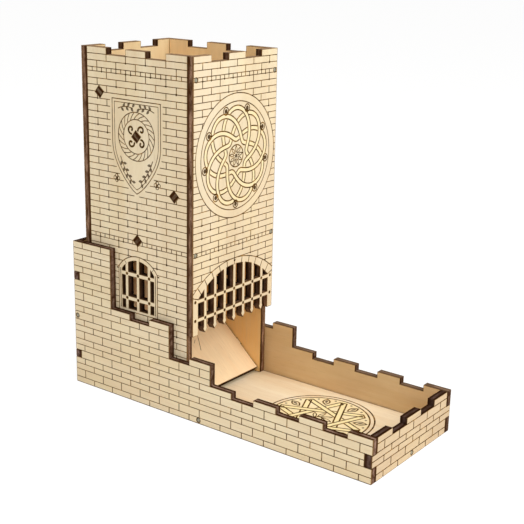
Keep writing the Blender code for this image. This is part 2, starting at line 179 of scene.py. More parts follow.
# The tray's side walls. Long boards of 4 mm birch plywood, stepped and crenellated along
# the top, laser-engraved outside with brick courses. Notches in both ends take the end
# walls' fingers, and two small round holes take magnets.
MM = 0.001
PLY = 4.0
GAP = 0.3
TRAY_HALF_WIDTH = 38.5
TRAY_HALF_LENGTH = 98.0
TRAY_BRICK = 14.0
TRAY_HALF_BRICKS = 28
LOW_COURSE = 3.47
TALL_COURSE = 4.58
TALL_COURSES = 6
REAR_LINE = 22
SIDE_LINES = (6, 5, 6, 5, 6, 5, 6, 9, 8, 13, 12, 13, 22, 22)
FRONT_FINGERS = ((2, 4),)
REAR_FINGERS = ((4, 5), (16, 17))
MAGNET_HOLE = 1.3
MAGNET_SIDES = 24
FLOOR_MAGNET_PLACE = 7.5
REAR_MAGNET_HEIGHT = 40.0
BRICK_LINE = 0.62
COURSE_LINE = 0.5
FOOT_SHADE = 0.2
GROOVE_DEPTH = 0.16
SCORCH = 0.35
SCORCH_TONE = 0.42
RUN_OUT = 1.0
CUT_CLEARANCE = 0.25
SHARPEST_MEET = 0.4
NEAR = 1e-6
MERGED = 1e-5

# Painted shade: the tray's inner faces are darker and more orange than the other inner faces,
# standing in for the shade and warm bounce light inside the tray.
TRAY_INSIDE_SHADED = {"inner": (0.63, 0.42, 0.195, 1.0), "inner_pale": (0.72, 0.50, 0.255, 1.0)}
SIDE_WALL_CORE = (0.54, 0.35, 0.26, 1.0)
BURNT_LINE = (0.050, 0.021, 0.003, 1.0)
TOASTED = (0.40, 0.215, 0.055, 1.0)
GOLDEN = (1.0, 0.85, 0.44, 1.0)
CHAR = (0.052, 0.018, 0.005, 1.0)
SOOT = (0.013, 0.006, 0.004, 1.0)
# Painted light: the light brown that level cut tops are blended towards, for the lamp above.
LIT_TOP_EDGE = (0.46, 0.31, 0.19, 1.0)

# What a board looks like where its own look says nothing else: its woods, how mottled they are, how
# sooty its cut edges are, and the lines whose surroundings are toned. Some of it is painted light
# and shade: the darker, warmer inner woods, the darker cut walls in holes, and the lamp light on
# level cut tops.
USUAL_LOOK = {
    "wood": (0.81, 0.665, 0.43, 1.0),
    "pale": (0.90, 0.78, 0.56, 1.0),
    # Painted shade: the inner face's woods are darker and warmer than the outer face's, for the
    # shade and warm bounce light inside.
    "inner": (0.78, 0.53, 0.245, 1.0),
    "inner_pale": (0.88, 0.64, 0.33, 1.0),
    "core": (0.52, 0.29, 0.165, 1.0),
    "mottle": 0.22,
    "soot": 0.0,
    "top_soot": 0.0,
    "riser_soot": 1.0,
    # Cut walls in holes: their char plus painted shade inside the opening.
    "hole_soot_and_shade": 0.3,
    # Share of painted lamp light on level cut tops.
    "lit_top": 0.55,
    "bands": (),
}

# Tints laid over the wood in turn: how fine the noise is, its stretch along the grain, its
# detail, where the tint begins and is full, its share (or the look's mottle) and colour.
GRAIN_TINTS = {
    "rays": (700.0, 0.05, 2.0, 0.3, 0.7, 0.22, (0.74, 0.56, 0.34, 1.0)),
    "pores": (2600.0, 0.06, 1.0, 0.60, 0.78, 0.28, (0.45, 0.28, 0.13, 1.0)),
    "cloud": (22.0, 0.5, 2.0, 0.3, 0.7, None, (0.84, 0.60, 0.40, 1.0)),
    "blush": (75.0, 0.4, 2.0, 0.45, 0.75, None, (0.95, 0.82, 0.50, 1.0)),
}
BAND_GRAIN = (90.0, 0.10, 3.0)
BANDS_FROM = (0.32, 0.68)
SMOKE_GRAIN = (420.0, 1.0, 3.0)
CORE_GRAIN = (300.0, 0.2, 2.0)
STREAK_GRAIN = (420.0, 0.3, 4.0)
FLECK_GRAIN = (1900.0, 0.5, 2.0)
SEED_STEPS = (3.7, 1.9, 2.3)
GRAIN_ROUGHNESS = 0.55
# Painted bounce light: a warm orange glow laid over the inner face below these heights.
BOUNCE_GLOW_HEIGHTS = (0.10, 0.05)
BOUNCE_GLOW_SHARE = 0.75
GOLDEN_SHARE = 0.8
BURNT_FROM = (0.10, 0.38)
TOASTED_FROM = (0.0, 0.3)
MATT_FROM = (0.0, 0.4)
SMOKE_FROM = (0.25, 0.55)
CORE_REACH = (0.13, 0.24)
CORE_WOBBLE = 0.10
STREAKS_FROM = (0.32, 0.66)
FLECKS_FROM = (0.35, 0.6)
FLECKS = 0.45
SOOT_DIMS = 0.72
SOOT_COVERS = 0.5
# Painted shade: cut walls inside holes darken towards the back of the board.
HOLE_SHADE_COVERS = 0.75
HOLE_SHADE_FROM = (0.3, 1.0)
# Painted light: upright cut faces lighten towards the face side, as if lit at the front of the cut.
FACE_SIDE_LIGHT = 0.55
CORE_LIGHT = 0.5
# Painted light: the core ply of level cut tops is lighter, for the lamp above.
TOP_CORE_LIGHT = 0.6
# Painted light: a toasted-brown lift at the face side of upright cut faces.
LIT_DEPTH = (0.02, 0.2)
LIT_SHARE = 0.45
BUMP_STRENGTH = 0.25
BUMP_HEIGHT = 0.0002
PORE_DEPTH = -0.6
WOOD_ROUGHNESS = 0.66
WOOD_GLOSS = 0.25


def course_line(count):
    """Height of a course line of the tray: two low courses to each tall one, then low."""
    tall = np.minimum((np.asarray(count) + 1) // 3, TALL_COURSES)
    return tall * TALL_COURSE + (np.asarray(count) - tall) * LOW_COURSE


def tidy_loop(points):
    """A closed loop of points with repeated neighbours dropped."""
    points = np.asarray(points, float)
    apart = np.linalg.norm(points - np.roll(points, 1, axis=0), axis=1) > NEAR
    return points[apart]


def battlement(edges, heights):
    """A stepped top: each height is held from one edge to the next."""
    return np.stack([np.repeat(edges, 2)[1:-1], np.repeat(heights, 2)], axis=1)


def notches(edge, shift, spans):
    """An upright edge that steps sideways by shift over each span of heights."""
    spans = np.asarray(spans, float)
    across = np.tile([edge, edge + shift, edge + shift, edge], len(spans))
    return np.stack([across, np.repeat(spans, 2, axis=1).ravel()], axis=1)


def ring(centre, radius, sides):
    """A closed circle: centre plus radius times (cos, sin) at even angles."""
    turn = np.linspace(0.0, 2 * np.pi, sides, endpoint=False)
    return np.asarray(centre) + radius * np.stack([np.cos(turn), np.sin(turn)], axis=1)


def is_inside(points, loop):
    """Points inside a loop: a line to the right of each crosses it an odd number of times."""
    after = np.roll(loop, -1, axis=0)
    x, y = points[:, :1], points[:, 1:]
    astride = (loop[:, 1] > y) != (after[:, 1] > y)
    rise = np.where(after[:, 1] == loop[:, 1], 1.0, after[:, 1] - loop[:, 1])
    crossing = loop[:, 0] + (y - loop[:, 1]) * (after[:, 0] - loop[:, 0]) / rise
    return (astride & (x < crossing)).sum(axis=1) % 2 == 1


def on_board(points, outline, holes):
    """Points inside the outline and outside every hole."""
    free = is_inside(points, outline)
    for hole in holes:
        free &= ~is_inside(points, hole)
    return free


def side_step(points, closed, distance):
    """A line moved to its left by a distance: each point goes along the sum of the two
    neighbouring normals, over one plus their dot product."""
    run = np.roll(points, -1, axis=0) - points
    normal = np.stack([-run[:, 1], run[:, 0]], axis=1)
    normal /= np.maximum(np.linalg.norm(normal, axis=1, keepdims=True), NEAR)
    before = np.roll(normal, 1, axis=0)
    if not closed:
        normal[-1] = normal[-2]
        before[0] = normal[0]
    meet = 1 + (normal * before).sum(axis=1, keepdims=True)
    return points + distance * (normal + before) / np.maximum(meet, SHARPEST_MEET)


def from_line(points, line, closed):
    """Distance of each point from a line: to the nearest point of each straight piece."""
    end = np.roll(line, -1, axis=0)
    start = line if closed else line[:-1]
    run = (end if closed else end[:-1]) - start
    length = np.maximum((run**2).sum(axis=1), NEAR**2)
    offset = points[:, None, :] - start[None]
    share = np.clip((offset * run).sum(axis=2) / length, 0.0, 1.0)
    return np.linalg.norm(offset - share[..., None] * run, axis=2).min(axis=1)


def straight(start, end, width=BRICK_LINE):
    """An engraved straight line of a width."""
    return np.array([start, end], float), False, width


def level_lines(levels, reach, width=BRICK_LINE):
    """Engraved level lines at their heights, right across a board."""
    return [straight((-reach, level), (reach, level), width) for level in levels]


def crossings(start, end, shapes):
    """The shares of a straight line's length at which it crosses any shape's sides, each
    the ratio of two cross products, with 0 and 1."""
    run = end - start
    shares = [np.array([0.0, 1.0])]
    for shape in shapes:
        side = np.roll(shape, -1, axis=0) - shape
        gap = shape - start
        cross = run[0] * side[:, 1] - run[1] * side[:, 0]
        cross = np.where(np.abs(cross) < NEAR, np.inf, cross)
        along = (gap[:, 0] * side[:, 1] - gap[:, 1] * side[:, 0]) / cross
        beside = (gap[:, 0] * run[1] - gap[:, 1] * run[0]) / cross
        shares.append(along[(along > 0) & (along < 1) & (beside >= 0) & (beside <= 1)])
    return np.concatenate(shares)


def left_clear(lines, shapes):
    """Straight lines with the stretches inside any shape left out: a line is parted where
    it crosses a side, and kept where its middle is outside."""
    kept = []
    for (start, end), _, width in lines:
        run = end - start
        shares = np.sort(crossings(start, end, shapes))
        middle = start + run * ((shares[1:] + shares[:-1]) / 2)[:, None]
        free = ~np.any([is_inside(middle, shape) for shape in shapes], axis=0)
        long_enough = np.diff(shares) * np.linalg.norm(run) > 2 * width
        for step in np.flatnonzero(free & long_enough):
            kept.append(straight(start + run * shares[step], start + run * shares[step + 1], width))
    return kept


def within_board(lines, outline, holes):
    """Straight lines kept where both their sides are on the board, clear of its edges. A
    line that meets a cut runs out over it."""
    kept = []
    for (start, end), _, width in lines:
        run = end - start
        length = np.linalg.norm(run)
        beside = CUT_CLEARANCE * np.array([-run[1], run[0]]) / length
        cuts = [outline] + holes
        found = [crossings(start + step, end + step, cuts) for step in (beside, -beside)]
        shares = np.unique(np.concatenate(found))
        middle = start + run * ((shares[1:] + shares[:-1]) / 2)[:, None]
        free = on_board(middle + beside, outline, holes) & on_board(middle - beside, outline, holes)
        steps = np.concatenate([[False], free, [False]])
        firsts = np.flatnonzero(steps[1:] & ~steps[:-1])
        lasts = np.flatnonzero(steps[:-1] & ~steps[1:])
        for first, last in zip(firsts, lasts):
            if (shares[last] - shares[first]) * length > width:
                low = shares[first] - RUN_OUT / length * (first > 0)
                high = shares[last] + RUN_OUT / length * (last + 1 < len(shares))
                kept.append(straight(start + run * low, start + run * high, width))
    return kept


def lines_and_borders(mark):
    """An engraved line's middle and the closed border round it, half its width away."""
    points, closed, width = mark
    if closed:
        borders = [(side_step(points, True, reach), True) for reach in (width / 2, -width / 2)]
        return [(points, True)] + borders
    longer = points.copy()
    first = points[0] - points[1]
    last = points[-1] - points[-2]
    longer[0] += first / np.linalg.norm(first) * width / 2
    longer[-1] += last / np.linalg.norm(last) * width / 2
    left = side_step(longer, False, width / 2)
    right = side_step(longer, False, -width / 2)
    return [(points, False), (np.concatenate([left, right[::-1]]), True)]


def drawn_edges(drawn, first=0):
    """The pairs of neighbouring points along drawn lines, numbered from first."""
    edges = []
    for points, closed in drawn:
        step = np.arange(len(points) if closed else len(points) - 1)
        edges.append(first + np.stack([step, (step + 1) % len(points)], axis=1))
        first += len(points)
    return np.concatenate(edges)


def triangulated(corners, edges, outline, holes):
    """Flat triangles over the board's corners, each edge kept as triangle edges. Gives the
    points, the triangles, and the corners that each point came from."""
    flat = delaunay_2d_cdt(corners.tolist(), edges.tolist(), [], 0, MERGED, True)
    points, triangles = np.array([tuple(p) for p in flat[0]]), np.array(flat[2], int)
    return points, triangles[on_board(points[triangles].mean(axis=1), outline, holes)], flat[3]


def turned(loop, anticlockwise):
    """A loop run in the asked direction, told by the sign of its area."""
    after = np.roll(loop, -1, axis=0)
    area = (loop[:, 0] * after[:, 1] - loop[:, 1] * after[:, 0]).sum()
    return loop if (area > 0) == anticlockwise else loop[::-1]


def boundary_edges(triangles):
    """Triangle edges that no other triangle runs the other way."""
    edges = triangles[:, [0, 1, 1, 2, 2, 0]].reshape(-1, 2)
    key = edges[:, 0] * (triangles.max() + 1) + edges[:, 1]
    back = edges[:, 1] * (triangles.max() + 1) + edges[:, 0]
    return edges[~np.isin(key, back)]


def scorched_by(points, cuts):
    """How toasted each point is by the nearest cut: falling off evenly over its scorch."""
    share = 1 - np.min([from_line(points, cut, True) for cut in cuts], axis=0) / SCORCH
    return SCORCH_TONE * np.clip(share, 0, 1)


def grooved(points, marks):
    """Each point's share of the groove's depth: one minus its distance from the nearest
    engraved line's middle over half the line's width."""
    groove = np.zeros(len(points))
    for line, closed, width in marks:
        low, high = line.min(axis=0) - width, line.max(axis=0) + width
        near = np.flatnonzero(((points > low) & (points < high)).all(axis=1))
        share = 1 - from_line(points[near], line, closed) / (width / 2)
        groove[near] = np.maximum(groove[near], np.clip(share, 0, 1))
    return groove


def back_face(points, rim, scorched, outline, holes):
    """The flat back of a board: its points, its triangles, and the back point that stands
    behind each front point of the rim."""
    rim_points = np.unique(rim)
    renumber = np.zeros(len(points), int)
    renumber[rim_points] = np.arange(len(rim_points))
    corners = np.concatenate([points[rim_points]] + [loop for loop, _ in scorched])
    edges = np.concatenate([renumber[rim], drawn_edges(scorched, len(rim_points))])
    back_points, back, sources = triangulated(corners, edges, outline, holes)
    behind = np.zeros(len(points), int)
    for number, corners_there in enumerate(sources):
        rim_there = [corner for corner in corners_there if corner < len(rim_points)]
        if rim_there:
            behind[rim_points[rim_there[0]]] = number
    return back_points, back, behind


def edge_looks(start, end, outline, look):
    """The soot of each cut edge, with painted shade added for walls in holes, and how it stands: 0
    level or at a tab's end, 1 upright, 2 in a hole."""
    run, centre = end - start, (start + end) / 2
    level = run[:, 0] ** 2 / (run**2).sum(axis=1)
    in_hole = from_line(centre, outline, True) > CUT_CLEARANCE
    inward = np.ptp(outline[:, 0]) / 2 - 2 * PLY
    riser = np.abs(centre[:, 0] - outline[:, 0].mean()) < inward
    soot = np.maximum(look["top_soot"] * level, look["riser_soot"] * riser)
    soot = np.maximum(soot, look["soot"])
    # Cut walls in holes take their own value: char plus painted shade of the opening.
    soot[in_hole] = look["hole_soot_and_shade"]
    if "tab_soot" in look:
        tab_ends = np.abs(centre[:, 0]) > np.abs(outline[:, 0]).max() - GAP
        soot[tab_ends] = look["tab_soot"]
        level[tab_ends] = 1.0
    return soot, np.where(in_hole, 2.0, 1.0 - level)


def engraved_board(node, body, origin, across, up, outline, holes, marks, fills, look):
    """A plywood board with an engraved face. A face point's depth is the groove's depth
    times its share of it. The back is flat, and square walls join the two round every cut.
    Fills are flat shapes with a tone: burnt above 0, golden below."""
    look = {**USUAL_LOOK, **look}
    across, up, outward = (np.asarray(way, float) for way in (across, up, look["outward"]))
    outline = turned(tidy_loop(outline), True)
    holes = [turned(tidy_loop(hole), False) for hole in holes]
    cuts = [outline] + holes
    scorched = [(side_step(cut, True, SCORCH), True) for cut in cuts]
    drawn = [(cut, True) for cut in cuts] + scorched
    for mark in marks:
        drawn += lines_and_borders(mark)
    drawn += [(shape, True) for shape, _ in fills]
    corners = np.concatenate([line for line, _ in drawn])
    points, triangles, _ = triangulated(corners, drawn_edges(drawn), outline, holes)
    used, triangles = np.unique(triangles, return_inverse=True)
    points, triangles = points[used], triangles.reshape(-1, 3)
    rim = boundary_edges(triangles)
    back_points, back, behind = back_face(points, rim, scorched, outline, holes)

    groove = grooved(points, marks)
    depth = np.concatenate([GROOVE_DEPTH * groove, np.full(len(back_points), PLY)])
    flat = np.concatenate([points, back_points])
    place = np.asarray(origin, float) + flat[:, :1] * across + flat[:, 1:] * up
    place -= depth[:, None] * outward
    back = back[:, ::-1] + len(points)
    behind = behind[rim] + len(points)
    walls = np.stack([rim[:, 0], behind[:, 0], behind[:, 1], rim[:, 1]], axis=1)
    faces = triangles.tolist() + back.tolist() + walls.tolist()
    if np.dot(np.cross(across, up), outward) < 0:
        faces = [face[::-1] for face in faces]
    mesh = bpy.data.meshes.new(node + "_board")
    mesh.from_pydata((place * MM).tolist(), [], faces)

    front, rear = len(triangles), len(triangles) + len(back)
    labels = ("tone", "inner", "cut", "soot", "upright")
    looks = {label: np.zeros(len(faces)) for label in labels}
    middle = points[triangles].mean(axis=1)
    for shape, tone in fills:
        looks["tone"][:front][is_inside(middle, shape)] = tone
    for line, closed, reach, tone in look["bands"]:
        looks["tone"][:front][from_line(middle, line, closed) < reach] = tone
    looks["inner"][front:rear] = 1
    looks["cut"][rear:] = 1
    start, end = points[rim[:, 0]], points[rim[:, 1]]
    looks["soot"][rear:], looks["upright"][rear:] = edge_looks(start, end, outline, look)
    for label, values in looks.items():
        mesh.attributes.new(label, "FLOAT", "FACE").data.foreach_set("value", values)
    burn = np.maximum(groove, scorched_by(points, cuts))
    burn = np.concatenate([burn, scorched_by(back_points, cuts)])
    ply = np.repeat([0.0, 1.0], [len(points), len(back_points)])
    for label, values in (("burn", burn), ("ply", ply)):
        mesh.attributes.new(label, "FLOAT", "POINT").data.foreach_set("value", values)
    mesh.materials.append(plywood(node, look))
    board = placed(node + "_board", mesh)
    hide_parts(node)
    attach(board, body)


def plywood(name, look):
    """Sanded birch plywood: a pale face with long soft bands and short pores along the grain,
    engraved lines toasted at the sides and burnt in the middle, and cut edges charred dark with a
    lighter core ply. Light and shade are painted in as well: the inner face is darker and warmer
    (painted shade and bounce light), with an optional warm glow near its foot (painted bounce
    light); level cut tops are lighter (painted lamp light); upright cut faces are lighter at the
    face side (painted light); cut walls in holes are darker towards the back (painted shade)."""
    material = bpy.data.materials.new(name + " plywood")
    tree = empty_tree(material)
    kinds = ("ADD", "SUBTRACT", "MULTIPLY", "MAXIMUM")
    plus, minus, times, larger = (partial(reckoned, tree, kind) for kind in kinds)
    where = shader_node(tree, "ShaderNodeTexCoord").outputs["Object"]
    if "slope" in look:
        turn = (-look["slope"], 0.0, 0.0)
        where = shader_node(tree, "ShaderNodeMapping", Vector=where, Rotation=turn).outputs[0]
    shift = [look["seed"] * step for step in SEED_STEPS]

    def attribute(label):
        return shader_node(tree, "ShaderNodeAttribute", {"attribute_name": label}).outputs["Fac"]

    def blended(share, low, high):
        return shader_node(
            tree, "ShaderNodeMix", {"data_type": "RGBA"}, _0=share, _6=low, _7=high
        ).outputs[2]

    def ramp(value, low, high):
        return shader_node(
            tree, "ShaderNodeMapRange", Value=value, From_Min=low, From_Max=high
        ).outputs["Result"]

    def grain(scale, along, detail):
        stretch = [scale * (along if axis == look["grain"] else 1.0) for axis in range(3)]
        laid = shader_node(
            tree, "ShaderNodeMapping", Vector=where, Scale=stretch, Location=shift
        ).outputs[0]
        made = {"Vector": laid, "Scale": 1.0, "Detail": detail, "Roughness": GRAIN_ROUGHNESS}
        return shader_node(tree, "ShaderNodeTexNoise", **made).outputs["Fac"]

    labels = ("tone", "inner", "cut", "soot", "upright", "burn", "ply")
    tone, is_inner, cut, soot, upright, burn, ply = (attribute(label) for label in labels)
    bands = ramp(grain(*BAND_GRAIN), *BANDS_FROM)
    face = blended(bands, look["wood"], look["pale"])
    # The inner face gets its darker, warmer woods: painted shade and bounce light.
    inner = blended(bands, look["inner"], look["inner_pale"])
    # Painted bounce light: near the foot the inner face is blended towards a warm orange glow.
    if "bounce_glow" in look:
        height = shader_node(tree, "ShaderNodeSeparateXYZ", Vector=where).outputs["Z"]
        inner = blended(times(ramp(height, *BOUNCE_GLOW_HEIGHTS), BOUNCE_GLOW_SHARE), inner, look["bounce_glow"])
    wood = blended(is_inner, face, inner)
    tints = {}
    for label, (scale, along, detail, low, high, share, tint) in GRAIN_TINTS.items():
        tints[label] = ramp(grain(scale, along, detail), low, high)
        wood = blended(times(tints[label], share or look["mottle"]), wood, tint)
    wood = blended(times(ramp(tone, 0.0, -1.0), GOLDEN_SHARE), wood, GOLDEN)
    smoke = ramp(grain(*SMOKE_GRAIN), *SMOKE_FROM)
    burnt = larger(times(ramp(burn, *BURNT_FROM), smoke), ramp(tone, 0.0, 1.0))
    marked = blended(burnt, blended(ramp(burn, *TOASTED_FROM), wood, TOASTED), BURNT_LINE)

    wobble = times(minus(grain(*CORE_GRAIN), 0.5), CORE_WOBBLE)
    layer = reckoned(tree, "ABSOLUTE", minus(plus(ply, wobble), 0.5), 0.0)
    core = minus(1.0, ramp(layer, *CORE_REACH))
    streaks = ramp(grain(*STREAK_GRAIN), *STREAKS_FROM)
    flecks = plus(times(ramp(grain(*FLECK_GRAIN), *FLECKS_FROM), FLECKS), 1 - FLECKS)
    clean = minus(1.0, times(soot, SOOT_DIMS))
    side = ramp(upright, 0.0, 1.0)
    top = minus(1.0, side)
    # Upright cut faces lighten towards the face side: painted light.
    face_side_light = times(times(minus(1.0, ply), FACE_SIDE_LIGHT), side)
    # Level cut tops get a lighter core: painted lamp light from above.
    middle = times(core, plus(times(top, TOP_CORE_LIGHT), CORE_LIGHT))
    light = times(plus(middle, face_side_light), times(streaks, flecks))
    edge = blended(times(light, clean), CHAR, look["core"])
    # Cut walls inside holes darken towards the back: painted shade deep in the opening, on top of
    # the soot.
    in_hole = times(ramp(upright, 1.0, 2.0), HOLE_SHADE_COVERS)
    soot_and_hole_shade = plus(times(soot, SOOT_COVERS), times(ramp(ply, *HOLE_SHADE_FROM), in_hole))
    edge = blended(soot_and_hole_shade, edge, SOOT)
    # A further toasted-brown lift at the face side of upright cut faces: painted light.
    lit = times(minus(1.0, ramp(ply, *LIT_DEPTH)), times(clean, side))
    edge = blended(times(lit, LIT_SHARE), edge, TOASTED)
    # Level cut tops are blended towards a light brown: painted lamp light.
    edge = blended(times(top, look["lit_top"]), edge, LIT_TOP_EDGE)

    relief = plus(times(tints["pores"], PORE_DEPTH), tints["rays"])
    bump = shader_node(
        tree, "ShaderNodeBump", Strength=BUMP_STRENGTH, Distance=BUMP_HEIGHT, Height=relief
    )
    dull = larger(cut, larger(burnt, ramp(burn, *MATT_FROM)))
    shine = shader_node(
        tree,
        "ShaderNodeBsdfPrincipled",
        Base_Color=blended(cut, marked, edge),
        Normal=bump.outputs[0],
        Roughness=WOOD_ROUGHNESS,
        Specular_IOR_Level=times(minus(1.0, dull), WOOD_GLOSS),
    )
    shader_node(tree, "ShaderNodeOutputMaterial", Surface=shine.outputs[0])
    return material


def tray_side_bricks():
    """The courses of a tray side wall: level lines, and upright joints a brick apart that
    are half a brick over in every other course and change places at the wall's middle."""
    levels = course_line(np.arange(1, REAR_LINE))
    lines = level_lines(levels, TRAY_HALF_LENGTH + RUN_OUT, COURSE_LINE)
    for row in range(REAR_LINE):
        low, high = course_line(row), course_line(row + 1)
        for half_brick in range(1, TRAY_HALF_BRICKS):
            place = half_brick * TRAY_BRICK / 2 - TRAY_HALF_LENGTH
            rear = place > NEAR
            if abs(place) > NEAR and (half_brick + row + 1 + rear) % 2 == 0:
                lines.append(straight((place, low), (place, high)))
    return lines


def tray_side_wall(side, node):
    """One stepped side wall with its engraved courses."""
    front, rear = -TRAY_HALF_LENGTH, TRAY_HALF_LENGTH
    edges = np.linspace(front, rear, len(SIDE_LINES) + 1)
    outline = np.concatenate(
        [
            [(front, 0.0), (rear, 0.0)],
            notches(rear, -PLY - GAP, course_line(REAR_FINGERS)),
            battlement(edges, course_line(SIDE_LINES))[::-1],
            notches(front, PLY + GAP, course_line(FRONT_FINGERS))[::-1],
        ]
    )
    places = ((FLOOR_MAGNET_PLACE, PLY / 2), (rear - PLY / 2, REAR_MAGNET_HEIGHT))
    holes = [ring(place, MAGNET_HOLE, MAGNET_SIDES) for place in places]
    marks = within_board(tray_side_bricks(), outline, holes)
    # Painted shadow: a burnt line along the foot, for the dark gap where the wall meets the table.
    marks.append(straight((front, FOOT_SHADE), (rear, FOOT_SHADE), COURSE_LINE))
    look = {
        "outward": (side, 0, 0),
        "grain": 1,
        "seed": 2 + side,
        "soot": 0.3 + 0.3 * side,
        "top_soot": 0.15 - 0.15 * side,
        "riser_soot": 0.4,
        # Painted lamp light on the level cut tops, more on the right wall.
        "lit_top": 0.1 + 0.1 * side,
        "core": SIDE_WALL_CORE,
        **TRAY_INSIDE_SHADED,
    }
    origin = (side * TRAY_HALF_WIDTH, 0, 0)
    engraved_board(node, "tray", origin, (0, 1, 0), (0, 0, 1), outline, holes, marks, [], look)


tray_side_wall(-1, "tray_left_wall")
tray_side_wall(1, "tray_right_wall")


# The tray's end walls. The low front wall has five merlon bricks, the tall rear wall a
# plain top. Their fingers reach the side walls' outer faces.
END_INNER = TRAY_HALF_WIDTH - PLY - GAP
FRONT_LINES = (6, 5, 6, 5, 6)
END_BRICKS = 5
END_JOINT = 0.8
# Painted shade: the tray's end walls have a much darker copy of the face wood, for the dimmer light
# on them.
END_WOOD = (0.55, 0.41, 0.255, 1.0)
END_PALE_WOOD = (0.63, 0.495, 0.335, 1.0)
# The end walls' cut edges have a lighter, greyer core: partly a painted sheen of the lamp above on
# their level tops.
END_CORE = (0.55, 0.38, 0.33, 1.0)


def end_wall_bricks(top_line):
    """The courses of an end wall: five bricks across the inner width, and every other
    course set over by half a brick."""
    half_brick = (TRAY_HALF_WIDTH - PLY) / END_BRICKS
    lines = level_lines(course_line(np.arange(1, top_line)), TRAY_HALF_WIDTH + RUN_OUT)
    for row in range(top_line):
        low, high = course_line(row), course_line(row + 1)
        for step in range(-END_BRICKS + 1, END_BRICKS):
            if (step + row) % 2 == 0:
                place = step * half_brick
                lines.append(straight((place, low), (place, high), END_JOINT))
    return lines


def tray_end_wall(end, node, tops, fingers):
    """One end wall of the tray, fingered into the side walls."""
    edges = np.linspace(-TRAY_HALF_WIDTH + PLY, TRAY_HALF_WIDTH - PLY, len(tops) + 1)
    edges[[0, -1]] = -END_INNER, END_INNER
    spans = course_line(fingers) + np.array([GAP, -GAP])
    outline = np.concatenate(
        [
            [(-END_INNER, 0.0), (END_INNER, 0.0)],
            notches(END_INNER, TRAY_HALF_WIDTH - END_INNER, spans),
            battlement(edges, course_line(tops))[::-1],
            notches(-END_INNER, END_INNER - TRAY_HALF_WIDTH, spans)[::-1],
        ]
    )
    holes = [ring((0.0, PLY / 2), MAGNET_HOLE, MAGNET_SIDES)]
    marks = within_board(end_wall_bricks(max(tops)), outline, holes)
    look = {
        "outward": (0, end, 0),
        "grain": 0,
        "seed": 6 + end,
        "soot": 0.45 - 0.25 * end,
        "top_soot": 0.1,
        "lit_top": 0.0,
        "core": END_CORE,
        "wood": END_WOOD,
        "pale": END_PALE_WOOD,
        **TRAY_INSIDE_SHADED,
    }
    origin = (0, end * TRAY_HALF_LENGTH, 0)
    engraved_board(node, "tray", origin, (1, 0, 0), (0, 0, 1), outline, holes, marks, [], look)


tray_end_wall(-1, "tray_front_wall", FRONT_LINES, FRONT_FINGERS)
tray_end_wall(1, "tray_rear_wall", (REAR_LINE,), REAR_FINGERS)


# The tray's floor. A plain board between the four walls, with a woven star in a double
# ring engraved and lightly toasted where the dice come to rest.
EMBLEM_PLACE = (0.0, -42.0)
EMBLEM_RADIUS = 29.5
EMBLEM_INNER_RADIUS = 27.0
EMBLEM_LINE = 1.0
EMBLEM_EYE = 2.0
STAR_TIPS = 8
STAR_TURNS = 3
STAR_RADIUS = 25.4
STAR_BAND = 1.5
BAND_POINTS = 420
BAND_LAP = 0.4
BAND_STEP = 3
SHORTEST_BAND = 4
EMBLEM_POINTS = 96
EYE_POINTS = 20
SEED_POINTS = 10
LEAF_POINTS = 8
WHIRL_LEAF = (2.4, 7.6, 0.9)
WHIRL_SWEEP = 0.75
WHIRL_LINE = 0.7
GAP_LEAF = (18.6, 25.6, 1.9)
GAP_LEAF_MIDDLE = (20.4, 24.4, 0.8)
SEED_TURN = 0.19
SEED_REACH = 24.9
SEED_RADIUS = 0.7
TOAST = -1.0
LEAF_BURN = 0.85
SEED_BURN = 0.8
# Painted light: the floor's woods are paler than the usual face wood, for more light on the tray's
# floor.
FLOOR_WOOD = (0.84, 0.645, 0.40, 1.0)
FLOOR_PALE_WOOD = (0.99, 0.87, 0.66, 1.0)


def spoke(turn):
    """The way outward at a turn clockwise from straight up."""
    return np.stack([np.sin(turn), np.cos(turn)], axis=-1)


def interlace(centre, reach, lobes, turns, half_width, line):
    """A band woven over and under itself: its middle goes round the centre at the reach of
    its wave, which rises and falls lobes times in its turns, and it goes under where the
    sine of its wave is the smaller. Gives the lines of its two sides, and its middle."""
    count = BAND_POINTS * turns
    angle = np.linspace(0.0, 2 * np.pi * turns, count, endpoint=False)
    wave = angle * lobes / turns
    middle = reach(wave)[:, None] * spoke(angle) + centre
    height = np.sin(wave)
    order = np.arange(count)
    apart = np.abs(order[:, None] - order[None])
    apart = np.minimum(apart, count - apart) > count / (8 * turns)
    made = []
    for side in (-1, 1):
        edge = side_step(middle, True, side * half_width)
        gap = np.linalg.norm(edge[:, None] - middle[None], axis=2)
        under = (gap < half_width + line * BAND_LAP) & apart & (height[None] > height[:, None])
        shown = ~under.any(axis=1)
        for start in np.flatnonzero(shown & ~np.roll(shown, 1)):
            length = np.argmin(np.roll(shown, -start))
            if length > SHORTEST_BAND:
                run = (start + np.arange(0, length, BAND_STEP)) % count
                made.append((edge[run], False, line))
    return made, middle[::BAND_STEP]


def star_reach(wave):
    """Reach of a star whose sides are straight: the middle of a side is nearest."""
    half_side = np.pi * STAR_TURNS / STAR_TIPS
    along = (np.mod(wave, 2 * np.pi) / np.pi - 1.0) * half_side
    return STAR_RADIUS * math.cos(half_side) / np.cos(along)


def leaf(base, tip, half_width):
    """A pointed leaf: half_width times the sine of the share of its length, both ways."""
    share = np.linspace(0.0, 1.0, LEAF_POINTS)[:, None]
    run = np.asarray(tip, float) - base
    beside = np.array([-run[1], run[0]]) / np.linalg.norm(run) * half_width
    left = base + run * share + beside * np.sin(np.pi * share)
    right = base + run * share - beside * np.sin(np.pi * share)
    return np.concatenate([left, right[-2:0:-1]])


def leaf_between(centre, out, sizes, tip_out=None):
    """A leaf from one reach to another, of a half width, along one spoke or on to a second."""
    start, end, half_width = sizes
    tip = centre + end * (out if tip_out is None else tip_out)
    return leaf(centre + start * out, tip, half_width)


